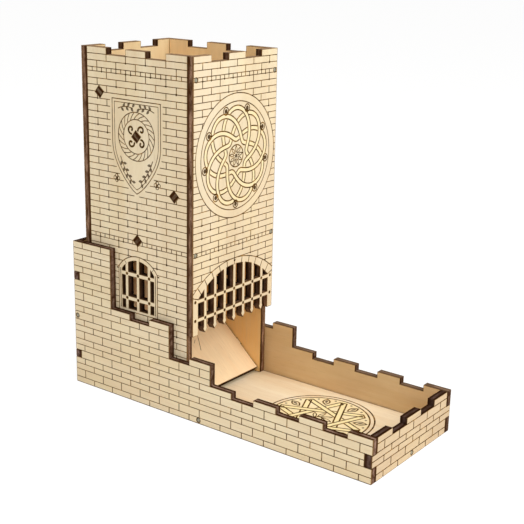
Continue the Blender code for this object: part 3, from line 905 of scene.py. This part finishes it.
def woven_star():
    """Two rings, a woven eight-pointed star, a whirl of leaves in its eye, and a burnt
    leaf between two seeds in each outer gap, as (lines, fills, toasted bands)."""
    centre = np.array(EMBLEM_PLACE)
    marks, middle = interlace(centre, star_reach, STAR_TIPS, STAR_TURNS, STAR_BAND, EMBLEM_LINE)
    for radius in (EMBLEM_RADIUS, EMBLEM_INNER_RADIUS):
        marks.append((ring(centre, radius, EMBLEM_POINTS), True, EMBLEM_LINE))
    marks.append((ring(centre, EMBLEM_EYE, EYE_POINTS), True, EMBLEM_LINE))
    fills = [(ring(centre, EMBLEM_INNER_RADIUS, EMBLEM_POINTS), TOAST / 2)]
    for step in range(STAR_TIPS):
        turn = 2 * np.pi * step / STAR_TIPS
        whirl = leaf_between(centre, spoke(turn), WHIRL_LEAF, spoke(turn + WHIRL_SWEEP))
        marks.append((whirl, True, EMBLEM_LINE * WHIRL_LINE))
        gap = turn + np.pi / STAR_TIPS
        marks.append((leaf_between(centre, spoke(gap), GAP_LEAF), True, EMBLEM_LINE))
        fills.append((leaf_between(centre, spoke(gap), GAP_LEAF_MIDDLE), LEAF_BURN))
        for side in (-SEED_TURN, SEED_TURN):
            seed = centre + SEED_REACH * spoke(gap + side)
            fills.append((ring(seed, SEED_RADIUS, SEED_POINTS), SEED_BURN))
    return marks, fills, [(middle, True, STAR_BAND, TOAST)]


def tray_floor():
    """The floor board with its woven star."""
    half_width, half_length = END_INNER, TRAY_HALF_LENGTH - PLY - GAP
    outline = [(-half_width, -half_length), (half_width, -half_length)]
    outline += [(half_width, half_length), (-half_width, half_length)]
    marks, fills, bands = woven_star()
    look = {"outward": (0, 0, 1), "grain": 1, "seed": 9, "bands": bands}
    look.update({"wood": FLOOR_WOOD, "pale": FLOOR_PALE_WOOD})
    engraved_board(
        "tray_floor", "tray", (0, 0, PLY), (1, 0, 0), (0, 1, 0), outline, [], marks, fills, look
    )


tray_floor()


# The tower's side walls. Tall boards with a crenellated top, a barred arched window, and
# slanted slots where the tabs of the inner boards show as dark diamonds. Each carries an
# engraved shield.
TOWER_HALF = 34.2
TOWER_BRICKS = 5
TOWER_FOOT = PLY + GAP
TOWER_COURSE = 3.47
DENTIL = 2.1
ROWS_TO_DENTILS = (24, 49)
TOWER_ROWS = 52
TOWER_HEIGHT = 184.64
TOWER_MIDDLE = 53.7
# Painted bounce light: the warm orange glow near the foot of the tower side walls' inner faces.
BOUNCE_GLOW = (0.99, 0.56, 0.135, 1.0)
TOWER_CORE = (0.53, 0.32, 0.205, 1.0)
CLOSED_GAP = 0.24
WINDOW_HALF = 11.5
WINDOW_SILL = 46.602
WINDOW_RAIL = 2.3
WINDOW_HEIGHTS = (0.0, 4.75, 7.05, 18.45, 20.75)
WINDOW_SPRING = 21.8
WINDOW_RISE = 5.9
WINDOW_PITCH = 8.0
WINDOW_BAR = 2.1
WINDOW_BARS = 3
FRAME_WIDTH = 2.4
FRAME_INNER_LINE = 0.45
FRAME_JOINTS = (-44.0, -4.0, 36.0)
FRAME_JOINT_LINE = 0.36
SERIF = (-0.3, 1.1)
SERIF_DOT = 1.0
SILL_BAND = 1.6
ARCH_POINTS = 12
RIVET = 0.45
RIVET_LINE = 1.1
DOT_BURN = 0.9
FOOT_DOT = (0.5, 0.68)
FOOT_DOT_SHARE = 0.35
FOOT_DOT_POINTS = 8
DOT_POINTS = 12
FRAME_ARC_POINTS = 32
SERIF_DOT_RADIUS = 0.5
TAB_HALF = 2.0
TAB_INSET = 8.4
UPPER_TABS = (140.9861, 161.702)
LOWER_TABS = (85.6049, 113.3996)
BAFFLE_TAIL = 16.0
RAMP_ANGLE = math.radians(42.0)
RAMP_TOE_INSET = 4.1
RAMP_LOW_TAB = 18.7
RAMP_TOP_TAB = 14.2


def row_heights():
    """Heights of the tower's course lines: even courses, with two thin dentil ones."""
    rows = np.arange(TOWER_ROWS + 1)
    lines = rows * TOWER_COURSE
    for row in ROWS_TO_DENTILS:
        lines = lines + DENTIL * (rows > row)
    dentils = [row * TOWER_COURSE + DENTIL * (step + 1) for step, row in enumerate(ROWS_TO_DENTILS)]
    return lines, np.array(dentils)


def tower_bricks(first_joint):
    """The courses of a tower wall: five bricks across, every other course set over by
    half a brick, and quarter bricks in the two dentil courses. The merlons are plain."""
    half_brick = TOWER_HALF / TOWER_BRICKS
    lines, dentils = row_heights()
    levels = np.concatenate([lines[1:-1], dentils])
    made = level_lines(levels, TOWER_HALF + RUN_OUT, COURSE_LINE)
    for row in range(TOWER_ROWS - 1):
        low = lines[row] + DENTIL * (row in ROWS_TO_DENTILS)
        for step in range(-TOWER_BRICKS + 1, TOWER_BRICKS):
            if (step + row + first_joint) % 2 == 0:
                made.append(straight((step * half_brick, low), (step * half_brick, lines[row + 1])))
    for high in dentils:
        for step in range(-2 * TOWER_BRICKS + 1, 2 * TOWER_BRICKS):
            place = step * half_brick / 2
            made.append(straight((place, high - DENTIL), (place, high)))
    return made


def started_joints(marks, seed):
    """Small burnt dots where the laser paused at the foot of some of the upright joints."""
    rng = np.random.default_rng(seed)
    feet = [start for (start, end), _, _ in marks if abs(start[0] - end[0]) < NEAR]
    return [
        (ring(foot, rng.uniform(*FOOT_DOT), FOOT_DOT_POINTS), DOT_BURN)
        for foot in feet
        if rng.random() < FOOT_DOT_SHARE
    ]


def crenellated(lower_edge):
    """A tower wall's outline over its lower edge: five bricks, the odd ones cut down."""
    edges = np.linspace(-TOWER_HALF, TOWER_HALF, TOWER_BRICKS + 1)
    heights = TOWER_HEIGHT - TOWER_COURSE * (np.arange(TOWER_BRICKS) % 2)
    return np.concatenate([lower_edge, battlement(edges, heights)[::-1]])


def arch_radius(half_width, rise):
    """Radius of the circle through an arch's two springings and its crown."""
    return (half_width**2 + rise**2) / (2 * rise)


def arched_pane(left, right, low, half_width, spring, rise):
    """An opening under an arch: a square foot, and a top that follows the circle."""
    radius = arch_radius(half_width, rise)
    across = np.linspace(right, left, ARCH_POINTS)
    top = spring + rise - radius + np.sqrt(radius**2 - across**2)
    pane = np.concatenate([[(left, low), (right, low)], np.stack([across, top], axis=1)])
    keep = np.ones(len(pane), bool)
    keep[2:] = top - low > GAP
    return pane[keep]


def box_pane(left, right, low, high):
    """A rectangular opening."""
    return np.array([(left, low), (right, low), (right, high), (left, high)])


def columns(half_width, pitch, bars, bar_width):
    """Left and right edges of the gaps between upright bars."""
    centres = pitch * (np.arange(bars) - (bars - 1) / 2)
    left = np.concatenate([[-half_width], centres + bar_width / 2])
    right = np.concatenate([centres - bar_width / 2, [half_width]])
    return np.stack([left, right], axis=1)


def arch_band(half_width, low, spring, rise, grow):
    """A closed outline round an arched opening, grown outward all round."""
    radius = arch_radius(half_width, rise)
    reach = math.asin(min(1.0, (half_width + grow) / (radius + grow)))
    arc = spoke(np.linspace(reach, -reach, FRAME_ARC_POINTS)) * (radius + grow)
    arc = arc + (0.0, spring + rise - radius)
    return np.concatenate([[(-half_width - grow, low), (half_width + grow, low)], arc])


def window_marks():
    """The frame cut round the window: a band with voussoir joints over it, a sill band
    under it, and a short serif with a burnt dot where the arch springs, as (lines, dots,
    the band's outline)."""
    low = WINDOW_SILL - SILL_BAND
    spring = WINDOW_SILL + WINDOW_SPRING
    band = arch_band(WINDOW_HALF, low, spring, WINDOW_RISE, FRAME_WIDTH)
    radius = arch_radius(WINDOW_HALF, WINDOW_RISE)
    centre = np.array([0.0, spring + WINDOW_RISE - radius])
    made = [(band, True, BRICK_LINE)]
    for ray in spoke(np.radians(FRAME_JOINTS)):
        foot, head = centre + ray * radius, centre + ray * (radius + FRAME_WIDTH)
        made.append(straight(foot, head, FRAME_JOINT_LINE))
    dots = []
    inner, outer = WINDOW_HALF + FRAME_WIDTH * FRAME_INNER_LINE, WINDOW_HALF + FRAME_WIDTH
    for side in (-1, 1):
        made.append(straight((side * inner, WINDOW_SILL), (side * inner, spring)))
        ends = [(side * (outer + end), spring) for end in SERIF]
        made.append(straight(*ends))
        dot = ring((side * (outer + SERIF_DOT), spring), SERIF_DOT_RADIUS, SEED_POINTS)
        dots.append((dot, DOT_BURN))
    return made, dots, band


def window_holes():
    """The twelve openings between the window's bars and rails."""
    heights = WINDOW_SILL + np.array(WINDOW_HEIGHTS)
    spring = WINDOW_SILL + WINDOW_SPRING
    holes = []
    for left, right in columns(WINDOW_HALF, WINDOW_PITCH, WINDOW_BARS, WINDOW_BAR):
        holes.append(box_pane(left, right, heights[0], heights[1]))
        holes.append(box_pane(left, right, heights[2], heights[3]))
        holes.append(arched_pane(left, right, heights[4], WINDOW_HALF, spring, WINDOW_RISE))
    return holes


def rivets(bars, rails):
    """Burnt rings where bars cross rails, as (lines, fills)."""
    rings = [ring((bar, rail), RIVET, DOT_POINTS) for bar in bars for rail in rails]
    return [(line, True, RIVET_LINE) for line in rings], [(line, 1.0) for line in rings]


def slanted_boards():
    """Each inner board as its direction, start, angle, tab places and lower and upper ends,
    measured up its slope."""
    run = TOWER_HALF - TAB_INSET
    boards = {}
    for name, toward, tabs in (("upper_baffle", 1, UPPER_TABS), ("lower_baffle", -1, LOWER_TABS)):
        low, rise = tabs[0], tabs[1] - tabs[0]
        angle = math.atan2(rise, run)
        reach = (TOWER_HALF - PLY / 2 * math.sin(angle)) / math.cos(angle)
        places = (0.0, math.hypot(run, rise))
        boards[name] = (toward, (0.0, low), angle, places, (-BAFFLE_TAIL, reach))
    sunk = PLY / 2 * math.sin(RAMP_ANGLE)
    start = (-TOWER_HALF + RAMP_TOE_INSET - sunk, PLY / 2 * math.cos(RAMP_ANGLE))
    reach = (TOWER_HALF - start[0] - sunk) / math.cos(RAMP_ANGLE)
    places = (RAMP_LOW_TAB, reach - RAMP_TOP_TAB)
    boards["exit_ramp"] = (1, start, RAMP_ANGLE, places, (0.0, reach))
    return boards


def tab_slots():
    """The slanted square slots for every tab, in a side wall's plane. The ramp's are
    snug on its upper side."""
    slots = []
    for name, (toward, start, angle, tabs, _) in slanted_boards().items():
        corners = np.array([(-1, -1), (1, -1), (1, 1), (-1, 1)]) * (TAB_HALF + GAP)
        if name == "exit_ramp":
            corners[2:, 1] -= CLOSED_GAP
        along = np.array([toward * math.cos(angle), math.sin(angle)])
        beside = np.array([-along[1], along[0]])
        for tab in tabs:
            centre = np.array(start) + along * tab
            slots.append(centre + corners[:, :1] * along + corners[:, 1:] * beside)
    return slots


SHIELD_TOP = 159.4
SHIELD_TIP = 110.9
SHIELD_HALF = 16.8
SHIELD_CENTRE = 141.0
SHIELD_CHEEK = 137.0
SHIELD_FLANK = 0.8
SHIELD_TIP_GROWS = 1.4
SHIELD_LINE = 0.58
SHIELD_INSET = 1.6
SHIELD_CLEAR = 1.7
SHIELD_INSET_LINE = 0.8
FLANK_POINTS = 20
CURL_LINE = 1.1
CURL_PLACE = 5.0
CURL_TURNS = (-2.4, 2.8)
CURL_REACH = (2.3, 0.7)
CURL_POINTS = 14
CURL_WAYS = (45.0, 135.0, 225.0, 315.0)
ROPE_INNER = 8.9
ROPE_OUTER = 12.6
ROPE_STRANDS = 22
ROPE_SWEEP = 1.1
ROPE_INSET = 0.3
ROPE_POINTS = (48, 60)
STRAND_POINTS = 5
STRAND_LINE = 0.9
TWIGS = (((12.4, 154.6), (2.4, 155.4), -0.9, 3), ((11.2, 129.5), (3.0, 117.2), 0.9, 4))
TWIG_LEAF = 2.5
TWIG_LEAF_WAY = (0.75, 0.85)
TWIG_LEAF_WIDTH = 0.3
TWIG_BARE = 0.6
TWIG_OFFSET = 0.6
STEM_POINTS = 7
QUATREFOIL_PLACE = (14.3, 117.6)
QUATREFOIL_SIZE = 2.1
QUATREFOIL_REACH = 0.55
QUATREFOIL_RING = 0.48
QUATREFOIL_LINE = 0.85


def shield_shape(grow):
    """A heater shield: a level top, upright cheeks, and two arcs that meet at the tip."""
    drop = np.linspace(0.0, 1.0, FLANK_POINTS)
    across = (SHIELD_HALF + grow) * np.cos(drop * np.pi / 2) ** SHIELD_FLANK
    down = SHIELD_CHEEK + (SHIELD_TIP - grow * SHIELD_TIP_GROWS - SHIELD_CHEEK) * drop
    right = np.stack([across, down], axis=1)
    left = right[-2::-1] * (-1, 1)
    top = [(-SHIELD_HALF - grow, SHIELD_TOP + grow), (SHIELD_HALF + grow, SHIELD_TOP + grow)]
    return tidy_loop(np.concatenate([top, right, left]))


def rope_ring(centre):
    """Two rings with slanted strokes between them, each an even sweep outward."""
    rings = zip((ROPE_INNER, ROPE_OUTER), ROPE_POINTS)
    made = [(ring(centre, radius, points), True, SHIELD_LINE) for radius, points in rings]
    reach = np.linspace(ROPE_INNER + ROPE_INSET, ROPE_OUTER - ROPE_INSET, STRAND_POINTS)[:, None]
    for strand in range(ROPE_STRANDS):
        share = strand + np.linspace(0.0, ROPE_SWEEP, STRAND_POINTS)
        turn = 2 * np.pi * share / ROPE_STRANDS
        sweep = np.stack([np.cos(turn), np.sin(turn)], axis=1) * reach
        made.append((sweep + centre, False, SHIELD_LINE * STRAND_LINE))
    return made


def sprig(start, end, bend, pairs, size):
    """A leafy twig: its stem is a parabola of a bend, and pairs of burnt leaves stand off
    it, as (lines, fills)."""
    start, run = np.asarray(start, float), np.asarray(end, float) - start
    ahead = run / np.linalg.norm(run)
    beside = np.array([-ahead[1], ahead[0]])

    def on_stem(share):
        return start + run * share + beside * 4 * bend * share * (1 - share)

    stem = on_stem(np.linspace(0.0, 1.0, STEM_POINTS)[:, None])
    leaves = []
    for spot in (np.arange(pairs) + TWIG_BARE) / pairs:
        for side in (-1, 1):
            back = on_stem(spot) + TWIG_OFFSET * (1 - side) * ahead
            tip = back + size * (TWIG_LEAF_WAY[0] * ahead + TWIG_LEAF_WAY[1] * side * beside)
            leaves.append((leaf(back, tip, size * TWIG_LEAF_WIDTH), LEAF_BURN))
    return [(stem, False, SHIELD_LINE)], leaves


def quatrefoil(centre, size):
    """Four touching rings."""
    places = ring(centre, size * QUATREFOIL_REACH, 4)
    rings = [ring(place, size * QUATREFOIL_RING, DOT_POINTS) for place in places]
    return [(line, True, SHIELD_LINE * QUATREFOIL_LINE) for line in rings]


def shield_marks():
    """A shield with a double outline, a rope ring and burnt curls round the middle tab,
    leafy twigs in its corners and on its flanks, and a quatrefoil outside each flank, as
    (lines, fills, burnt bands)."""
    made = [(shield_shape(0.0), True, SHIELD_LINE)]
    made.append((shield_shape(-SHIELD_INSET), True, SHIELD_LINE * SHIELD_INSET_LINE))
    centre = np.array([0.0, SHIELD_CENTRE])
    made += rope_ring(centre)
    reach = np.linspace(*CURL_REACH, CURL_POINTS)[:, None]
    bands = []
    for turn in np.radians(CURL_WAYS):
        angle = turn + np.linspace(*CURL_TURNS, CURL_POINTS)
        place = centre + np.array([math.cos(turn), math.sin(turn)]) * CURL_PLACE
        curl = place + reach * np.stack([np.cos(angle), np.sin(angle)], axis=1)
        made.append((curl, False, CURL_LINE))
        bands.append((curl, False, CURL_LINE / 2, LEAF_BURN))
    fills = []
    for side in (-1, 1):
        mirror = np.array([side, 1.0])
        for start, end, bend, pairs in TWIGS:
            stem, leaves = sprig(mirror * start, mirror * end, bend * side, pairs, TWIG_LEAF)
            made += stem
            fills += leaves
        made += quatrefoil(mirror * QUATREFOIL_PLACE, QUATREFOIL_SIZE)
    return made, fills, bands


def tower_side_wall(side, node):
    """One side wall of the tower with its window, slots, shield and courses."""
    outline = crenellated([(-TOWER_HALF, 0.0), (TOWER_HALF, 0.0)])
    at_end = np.abs(outline[:, 0]) > TOWER_HALF - GAP
    outline[:, 0] += np.sign(outline[:, 0]) * CLOSED_GAP * at_end
    holes = window_holes() + tab_slots()
    frame_marks, dots, band = window_marks()
    arms, leaves, bands = shield_marks()
    rails = WINDOW_SILL + np.array([WINDOW_HEIGHTS[1], WINDOW_HEIGHTS[3]]) + WINDOW_RAIL / 2
    studs, stud_burns = rivets(WINDOW_PITCH * (np.arange(WINDOW_BARS) - WINDOW_BARS // 2), rails)
    bricks = left_clear(tower_bricks(1), [band, shield_shape(SHIELD_CLEAR)])
    bricks = within_board(bricks, outline, holes)
    marks = bricks + frame_marks + arms + studs
    burns = leaves + started_joints(bricks, 12 + side) + dots + stud_burns
    look = {
        "outward": (side, 0, 0),
        "grain": 2,
        "seed": 12 + side,
        # The tower side walls' inner faces get the painted bounce glow near their foot.
        "bounce_glow": BOUNCE_GLOW,
        # Darker cut walls in the window and slots: partly char, partly painted shade inside the
        # openings.
        "hole_soot_and_shade": 0.7,
        "core": TOWER_CORE,
        "bands": bands,
    }
    origin = (side * TOWER_HALF, TOWER_MIDDLE, TOWER_FOOT)
    engraved_board(node, "tower", origin, (0, 1, 0), (0, 0, 1), outline, holes, marks, burns, look)


tower_side_wall(-1, "tower_left_wall")
tower_side_wall(1, "tower_right_wall")


# The tower's front and back walls. They cover the side walls' edges. The front one has a
# round rosette and, under a ring of voussoirs, a portcullis cut out of the same board,
# its bars ending in points over the tray.
JAMB = 4.25
LOW_RAIL = 48.9964
HIGH_RAIL = 59.1964
GATE_RAIL = 2.1
GATE_BAR = 2.2
GATE_BARS = 7
GATE_POINT = 7.25
GATE_RISE = 12.6
SPEAR_HALF = 1.6
SPEAR_LENGTH = 2.4
SPEAR_NECK = 1.1
VOUSSOIR_RADIUS = 52.4
VOUSSOIR_CENTRE = 23.9
VOUSSOIR_TURN = math.radians(7.1)
VOUSSOIR_JOINTS = 5
SPRINGER_RISE = 2.0
MEDALLION_HEIGHT = 131.5
MEDALLION_RADIUS = 32.6
MEDALLION_RING = 28.4
MEDALLION_LINE = 0.78
FINE_LINE = 0.8
KNOT_LOBES = 9
KNOT_TURNS = 4
KNOT_BAND = 1.15
KNOT_REACH = 16.9
KNOT_SWING = 8.2
KNOT_TOAST = -0.45
FLOWER_RADIUS = 5.8
FLOWER_EYE = 1.1
PETAL = (1.7, 5.3, 0.7)
BUD_REACH = 25.6
BUD_RADIUS = 1.2
BUD_RING = 2.0
BUD_BURN = 0.95
MEDALLION_POINTS = 120
FLOWER_POINTS = 36
VOUSSOIR_POINTS = 48
PANEL_MAGNETS = (84.3299, 173.1799)
PANEL_DOTS = ((75.0, 0.75, 12, 1.0), (165.0, 0.5, 10, 0.9))
# Painted shade: the front wall's woods are a darker copy of the face wood, set against the strong
# gate lamp.
FRONT_WOOD = (0.695, 0.583, 0.39, 1.0)
FRONT_PALE_WOOD = (0.775, 0.685, 0.505, 1.0)
# Painted light and shade: the back wall's inner woods are set paler and yellower than the other
# inner faces, for the light inside the tower top.
BACK_INNER_WOOD = (0.70, 0.545, 0.305, 1.0)
BACK_INNER_PALE_WOOD = (0.795, 0.65, 0.395, 1.0)


def knot_reach(wave):
    """Reach of the rosette's knot: a mean radius and an even swing."""
    return KNOT_REACH + KNOT_SWING * np.cos(wave)


def rosette():
    """A round field: two rings, a woven band of nine lobes, a flower in its eye and a
    burnt bud in a ring between the lobes, as (lines, fills, toasted bands)."""
    centre = np.array([0.0, MEDALLION_HEIGHT])
    made, middle = interlace(centre, knot_reach, KNOT_LOBES, KNOT_TURNS, KNOT_BAND, MEDALLION_LINE)
    for radius in (MEDALLION_RADIUS, MEDALLION_RING):
        made.append((ring(centre, radius, MEDALLION_POINTS), True, MEDALLION_LINE * FINE_LINE))
    made.append((ring(centre, FLOWER_RADIUS, FLOWER_POINTS), True, MEDALLION_LINE))
    fills = [(ring(centre, FLOWER_EYE, DOT_POINTS), DOT_BURN)]
    for step in range(KNOT_LOBES):
        turn = 2 * np.pi * step / KNOT_LOBES
        made.append((leaf_between(centre, spoke(turn), PETAL), True, MEDALLION_LINE * FINE_LINE))
        bud = centre + BUD_REACH * spoke(turn + np.pi / KNOT_LOBES)
        fills.append((ring(bud, BUD_RADIUS, DOT_POINTS), BUD_BURN))
        made.append((ring(bud, BUD_RING, EYE_POINTS), True, MEDALLION_LINE))
    return made, fills, [(middle, True, KNOT_BAND, KNOT_TOAST)]


def gate_holes(half_width, pitch):
    """The openings between the portcullis's rails and bars."""
    holes = []
    low, high = LOW_RAIL + GATE_RAIL / 2, HIGH_RAIL - GATE_RAIL / 2
    spring = HIGH_RAIL + GATE_RAIL / 2
    for left, right in columns(half_width, pitch, GATE_BARS, GATE_BAR):
        holes.append(box_pane(left, right, low, high))
        holes.append(arched_pane(left, right, spring, half_width, spring, GATE_RISE))
    return holes


def gate_comb(half_width, pitch, foot):
    """The gate's lower edge: from rail to rail, each bar swells and comes to a point."""
    rail, shoulder = foot + GATE_POINT, foot + SPEAR_LENGTH
    half = GATE_BAR / 2
    bar_side = np.array([(half, rail), (half, shoulder + SPEAR_NECK), (SPEAR_HALF, shoulder)])
    spear = np.concatenate([bar_side * (-1, 1), [(0.0, foot)], bar_side[::-1]])
    centres = pitch * (np.arange(GATE_BARS) - (GATE_BARS - 1) / 2)
    comb = (spear[None] + np.stack([centres, 0 * centres], axis=1)[:, None]).reshape(-1, 2)
    left = [(-TOWER_HALF, foot), (-half_width, foot), (-half_width, rail)]
    right = [(half_width, rail), (half_width, foot), (TOWER_HALF, foot)]
    return np.concatenate([left, comb, right])


def gate_marks(half_width):
    """The voussoirs over the gate: an outer arc, joints square to it, and a springer line
    at each foot. Gives the lines and the shape that the courses keep out of."""
    spring = HIGH_RAIL + GATE_RAIL / 2
    radius = arch_radius(half_width, GATE_RISE)
    sink = VOUSSOIR_CENTRE - (spring + GATE_RISE - radius)
    reach = math.asin(TOWER_HALF / VOUSSOIR_RADIUS)
    centre = np.array([0.0, VOUSSOIR_CENTRE])
    arc = spoke(np.linspace(-reach, reach, VOUSSOIR_POINTS)) * VOUSSOIR_RADIUS + centre
    made = [(arc, False, BRICK_LINE)]
    for joint in range(-VOUSSOIR_JOINTS, VOUSSOIR_JOINTS + 1):
        ray = spoke(joint * VOUSSOIR_TURN)
        along = -sink * ray[1] + math.sqrt((sink * ray[1]) ** 2 - sink**2 + radius**2)
        made.append(straight(ray * along + centre, ray * VOUSSOIR_RADIUS + centre))
    outer = TOWER_HALF + RUN_OUT
    for side in (-1, 1):
        made.append(straight((side * half_width, spring), (side * outer, spring + SPRINGER_RISE)))
    shape = np.concatenate([arc, [(outer, 0.0), (-outer, 0.0)]])
    shape[0, 0] -= RUN_OUT
    shape[len(arc) - 1, 0] += RUN_OUT
    return made, shape


def panel_magnet_holes():
    """The four magnet holes of a front or back wall."""
    across = TOWER_HALF - PLY / 2
    places = [(side * across, height) for side in (-1, 1) for height in PANEL_MAGNETS]
    return [ring(place, MAGNET_HOLE, MAGNET_SIDES) for place in places]


def tower_panel(end, node, outline, holes, marks, fills, look):
    """A front or back wall of the tower, its grain upright."""
    look = {"outward": (0, end, 0), "grain": 2, "core": TOWER_CORE, "riser_soot": 0.6, **look}
    origin = (0, TOWER_MIDDLE + end * (TOWER_HALF + GAP + PLY), TOWER_FOOT)
    engraved_board(node, "tower", origin, (1, 0, 0), (0, 0, 1), outline, holes, marks, fills, look)


def tower_front_wall():
    """The front wall: rosette, voussoirs and portcullis."""
    half_width = TOWER_HALF - JAMB
    pitch = (2 * TOWER_HALF - PLY) / (GATE_BARS + 1)
    foot = LOW_RAIL - GATE_RAIL / 2 - GATE_POINT
    outline = crenellated(gate_comb(half_width, pitch, foot))
    holes = gate_holes(half_width, pitch) + panel_magnet_holes()
    arch, below = gate_marks(half_width)
    rose, buds, bands = rosette()
    field = ring((0.0, MEDALLION_HEIGHT), MEDALLION_RADIUS, MEDALLION_POINTS)
    bricks = left_clear(tower_bricks(0), [field, below])
    bricks = within_board(bricks, outline, holes)
    posts = np.arange(GATE_BARS + 2) - (GATE_BARS + 1) / 2
    studs, stud_burns = rivets(pitch * posts, (LOW_RAIL, HIGH_RAIL))
    marks = bricks + arch + rose + studs
    dots = [(ring((0.0, high), size, sides), burn) for high, size, sides, burn in PANEL_DOTS]
    burns = buds + started_joints(bricks, 17) + dots + stud_burns
    look = {"seed": 17, "bands": bands, "wood": FRONT_WOOD, "pale": FRONT_PALE_WOOD, "mottle": 0.3}
    tower_panel(-1, "tower_front_wall", outline, holes, marks, burns, look)


def tower_back_wall():
    """The plain brick back wall."""
    outline = crenellated([(-TOWER_HALF, 0.0), (TOWER_HALF, 0.0)])
    holes = panel_magnet_holes()
    marks = within_board(tower_bricks(0), outline, holes)
    look = {"seed": 19, "inner": BACK_INNER_WOOD, "inner_pale": BACK_INNER_PALE_WOOD}
    tower_panel(1, "tower_back_wall", outline, holes, marks, [], look)


tower_front_wall()
tower_back_wall()


# The two baffles and the exit ramp. Plain boards between the side walls, held by two tabs
# a side in the slanted slots. The ramp's veneer has a few dark mineral streaks.
BOARD_HALF = TOWER_HALF - PLY - GAP
# Painted light: the baffles' and ramp's woods are lightened beyond the usual face wood, for light
# that the front wall keeps off the ramp.
BOARD_WOOD = (0.95, 0.69, 0.41, 1.0)
BOARD_PALE_WOOD = (1.0, 0.80, 0.52, 1.0)
TAB_CORE = (0.31, 0.23, 0.145, 1.0)
LONG_STREAK = ((3.9, 31.4), (3.1, 29.6), (2.4, 28.2), (1.5, 26.7), (0.6, 24.9), (-0.7, 22.6))
SHORT_STREAK = ((0.3, 29.5), (-0.9, 28.6), (-1.7, 27.9))


def inner_board(node, seed, streaks):
    """One slanted board with its tabs. Its face is the side that the dice fall on."""
    toward, start, angle, tabs, (low, high) = slanted_boards()[node]
    spans = [(tab - TAB_HALF, tab + TAB_HALF) for tab in tabs]
    reach = TOWER_HALF - BOARD_HALF
    outline = np.concatenate(
        [
            [(-BOARD_HALF, low), (BOARD_HALF, low)],
            notches(BOARD_HALF, reach, spans),
            [(BOARD_HALF, high), (-BOARD_HALF, high)],
            notches(-BOARD_HALF, -reach, spans)[::-1],
        ]
    )
    up = np.array([0.0, toward * math.cos(angle), math.sin(angle)])
    outward = np.array([0.0, -toward * math.sin(angle), math.cos(angle)])
    origin = np.array([0.0, TOWER_MIDDLE + start[0], TOWER_FOOT + start[1]]) + outward * PLY / 2
    look = {
        "outward": outward,
        "grain": 1,
        "slope": math.atan2(up[2], up[1]),
        "seed": seed,
        "soot": 0.85,
        "top_soot": 0.9,
        "tab_soot": 0.15,
        "lit_top": 0.0,
        "core": TAB_CORE,
        "wood": BOARD_WOOD,
        "pale": BOARD_PALE_WOOD,
        "mottle": 0.15,
    }
    marks = [(np.array(points), False, width) for points, width in streaks]
    engraved_board(node, "tower", origin, (1, 0, 0), up, outline, [], marks, [], look)


inner_board("upper_baffle", 23, [])
inner_board("lower_baffle", 25, [])
inner_board("exit_ramp", 27, [(LONG_STREAK, 0.42), (SHORT_STREAK, 0.3)])


# The magnets. Small plated rods pressed into the boards' holes, with broken edges and a
# dull nickel face.
MAGNET_RADIUS = 1.0
MAGNET_CHAMFER = 0.15
ROD_SIDES = 32
NICKEL = (0.42, 0.40, 0.31, 1.0)
NICKEL_STAIN = (0.28, 0.26, 0.19, 1.0)
NICKEL_GRAIN = 1800.0
NICKEL_ROUGHNESS = (0.5, 0.75)
NICKEL_METAL = 0.85


def nickel():
    """Dull nickel plate, clouded with handling marks."""
    material = bpy.data.materials.new("nickel plate")
    tree = empty_tree(material)
    where = shader_node(tree, "ShaderNodeTexCoord").outputs["Object"]
    noise = shader_node(tree, "ShaderNodeTexNoise", Vector=where, Scale=NICKEL_GRAIN, Detail=3.0)
    marks = noise.outputs["Fac"]
    low, high = NICKEL_ROUGHNESS
    rough = shader_node(tree, "ShaderNodeMapRange", Value=marks, To_Min=low, To_Max=high)
    stain = shader_node(
        tree, "ShaderNodeMix", {"data_type": "RGBA"}, _0=marks, _6=NICKEL_STAIN, _7=NICKEL
    )
    shine = shader_node(
        tree,
        "ShaderNodeBsdfPrincipled",
        Base_Color=stain.outputs[2],
        Roughness=rough.outputs["Result"],
        Metallic=NICKEL_METAL,
    )
    shader_node(tree, "ShaderNodeOutputMaterial", Surface=shine.outputs[0])
    return material


def magnet_rod(node, body, material):
    """A turned rod: a profile of (distance along, radius) carried round its axis."""
    low, high = (np.array(corner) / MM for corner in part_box(node))
    axis = int(np.argmax(high - low))
    across, beside = (axis + 1) % 3, (axis + 2) % 3
    length = high[axis] - low[axis]
    along = np.array([0, MAGNET_CHAMFER, length - MAGNET_CHAMFER, length])[:, None]
    around = MAGNET_RADIUS - np.array([MAGNET_CHAMFER, 0.0, 0.0, MAGNET_CHAMFER])[:, None]
    turn = np.linspace(0.0, 2 * np.pi, ROD_SIDES, endpoint=False)
    rings = np.zeros((4, ROD_SIDES, 3)) + (low + high) / 2
    rings[..., axis] = low[axis] + along
    rings[..., across] += around * np.cos(turn)
    rings[..., beside] += around * np.sin(turn)
    number = np.arange(4 * ROD_SIDES).reshape(4, ROD_SIDES)
    after = np.roll(number, -1, axis=1)
    quads = np.stack([number[:-1], after[:-1], after[1:], number[1:]], axis=-1).reshape(-1, 4)
    faces = quads.tolist() + [number[0, ::-1].tolist(), number[3].tolist()]
    mesh = bpy.data.meshes.new(node + "_rod")
    mesh.from_pydata((rings.reshape(-1, 3) * MM).tolist(), [], faces)
    mesh.materials.append(material)
    rod = placed(node + "_rod", mesh)
    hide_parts(node)
    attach(rod, body)


nickel_plate = nickel()
for body_name in ("tray", "tower"):
    for node_name in frame["record"]["behaviour"]["bodies"][body_name]:
        if node_name.endswith("_magnet"):
            magnet_rod(node_name, body_name, nickel_plate)
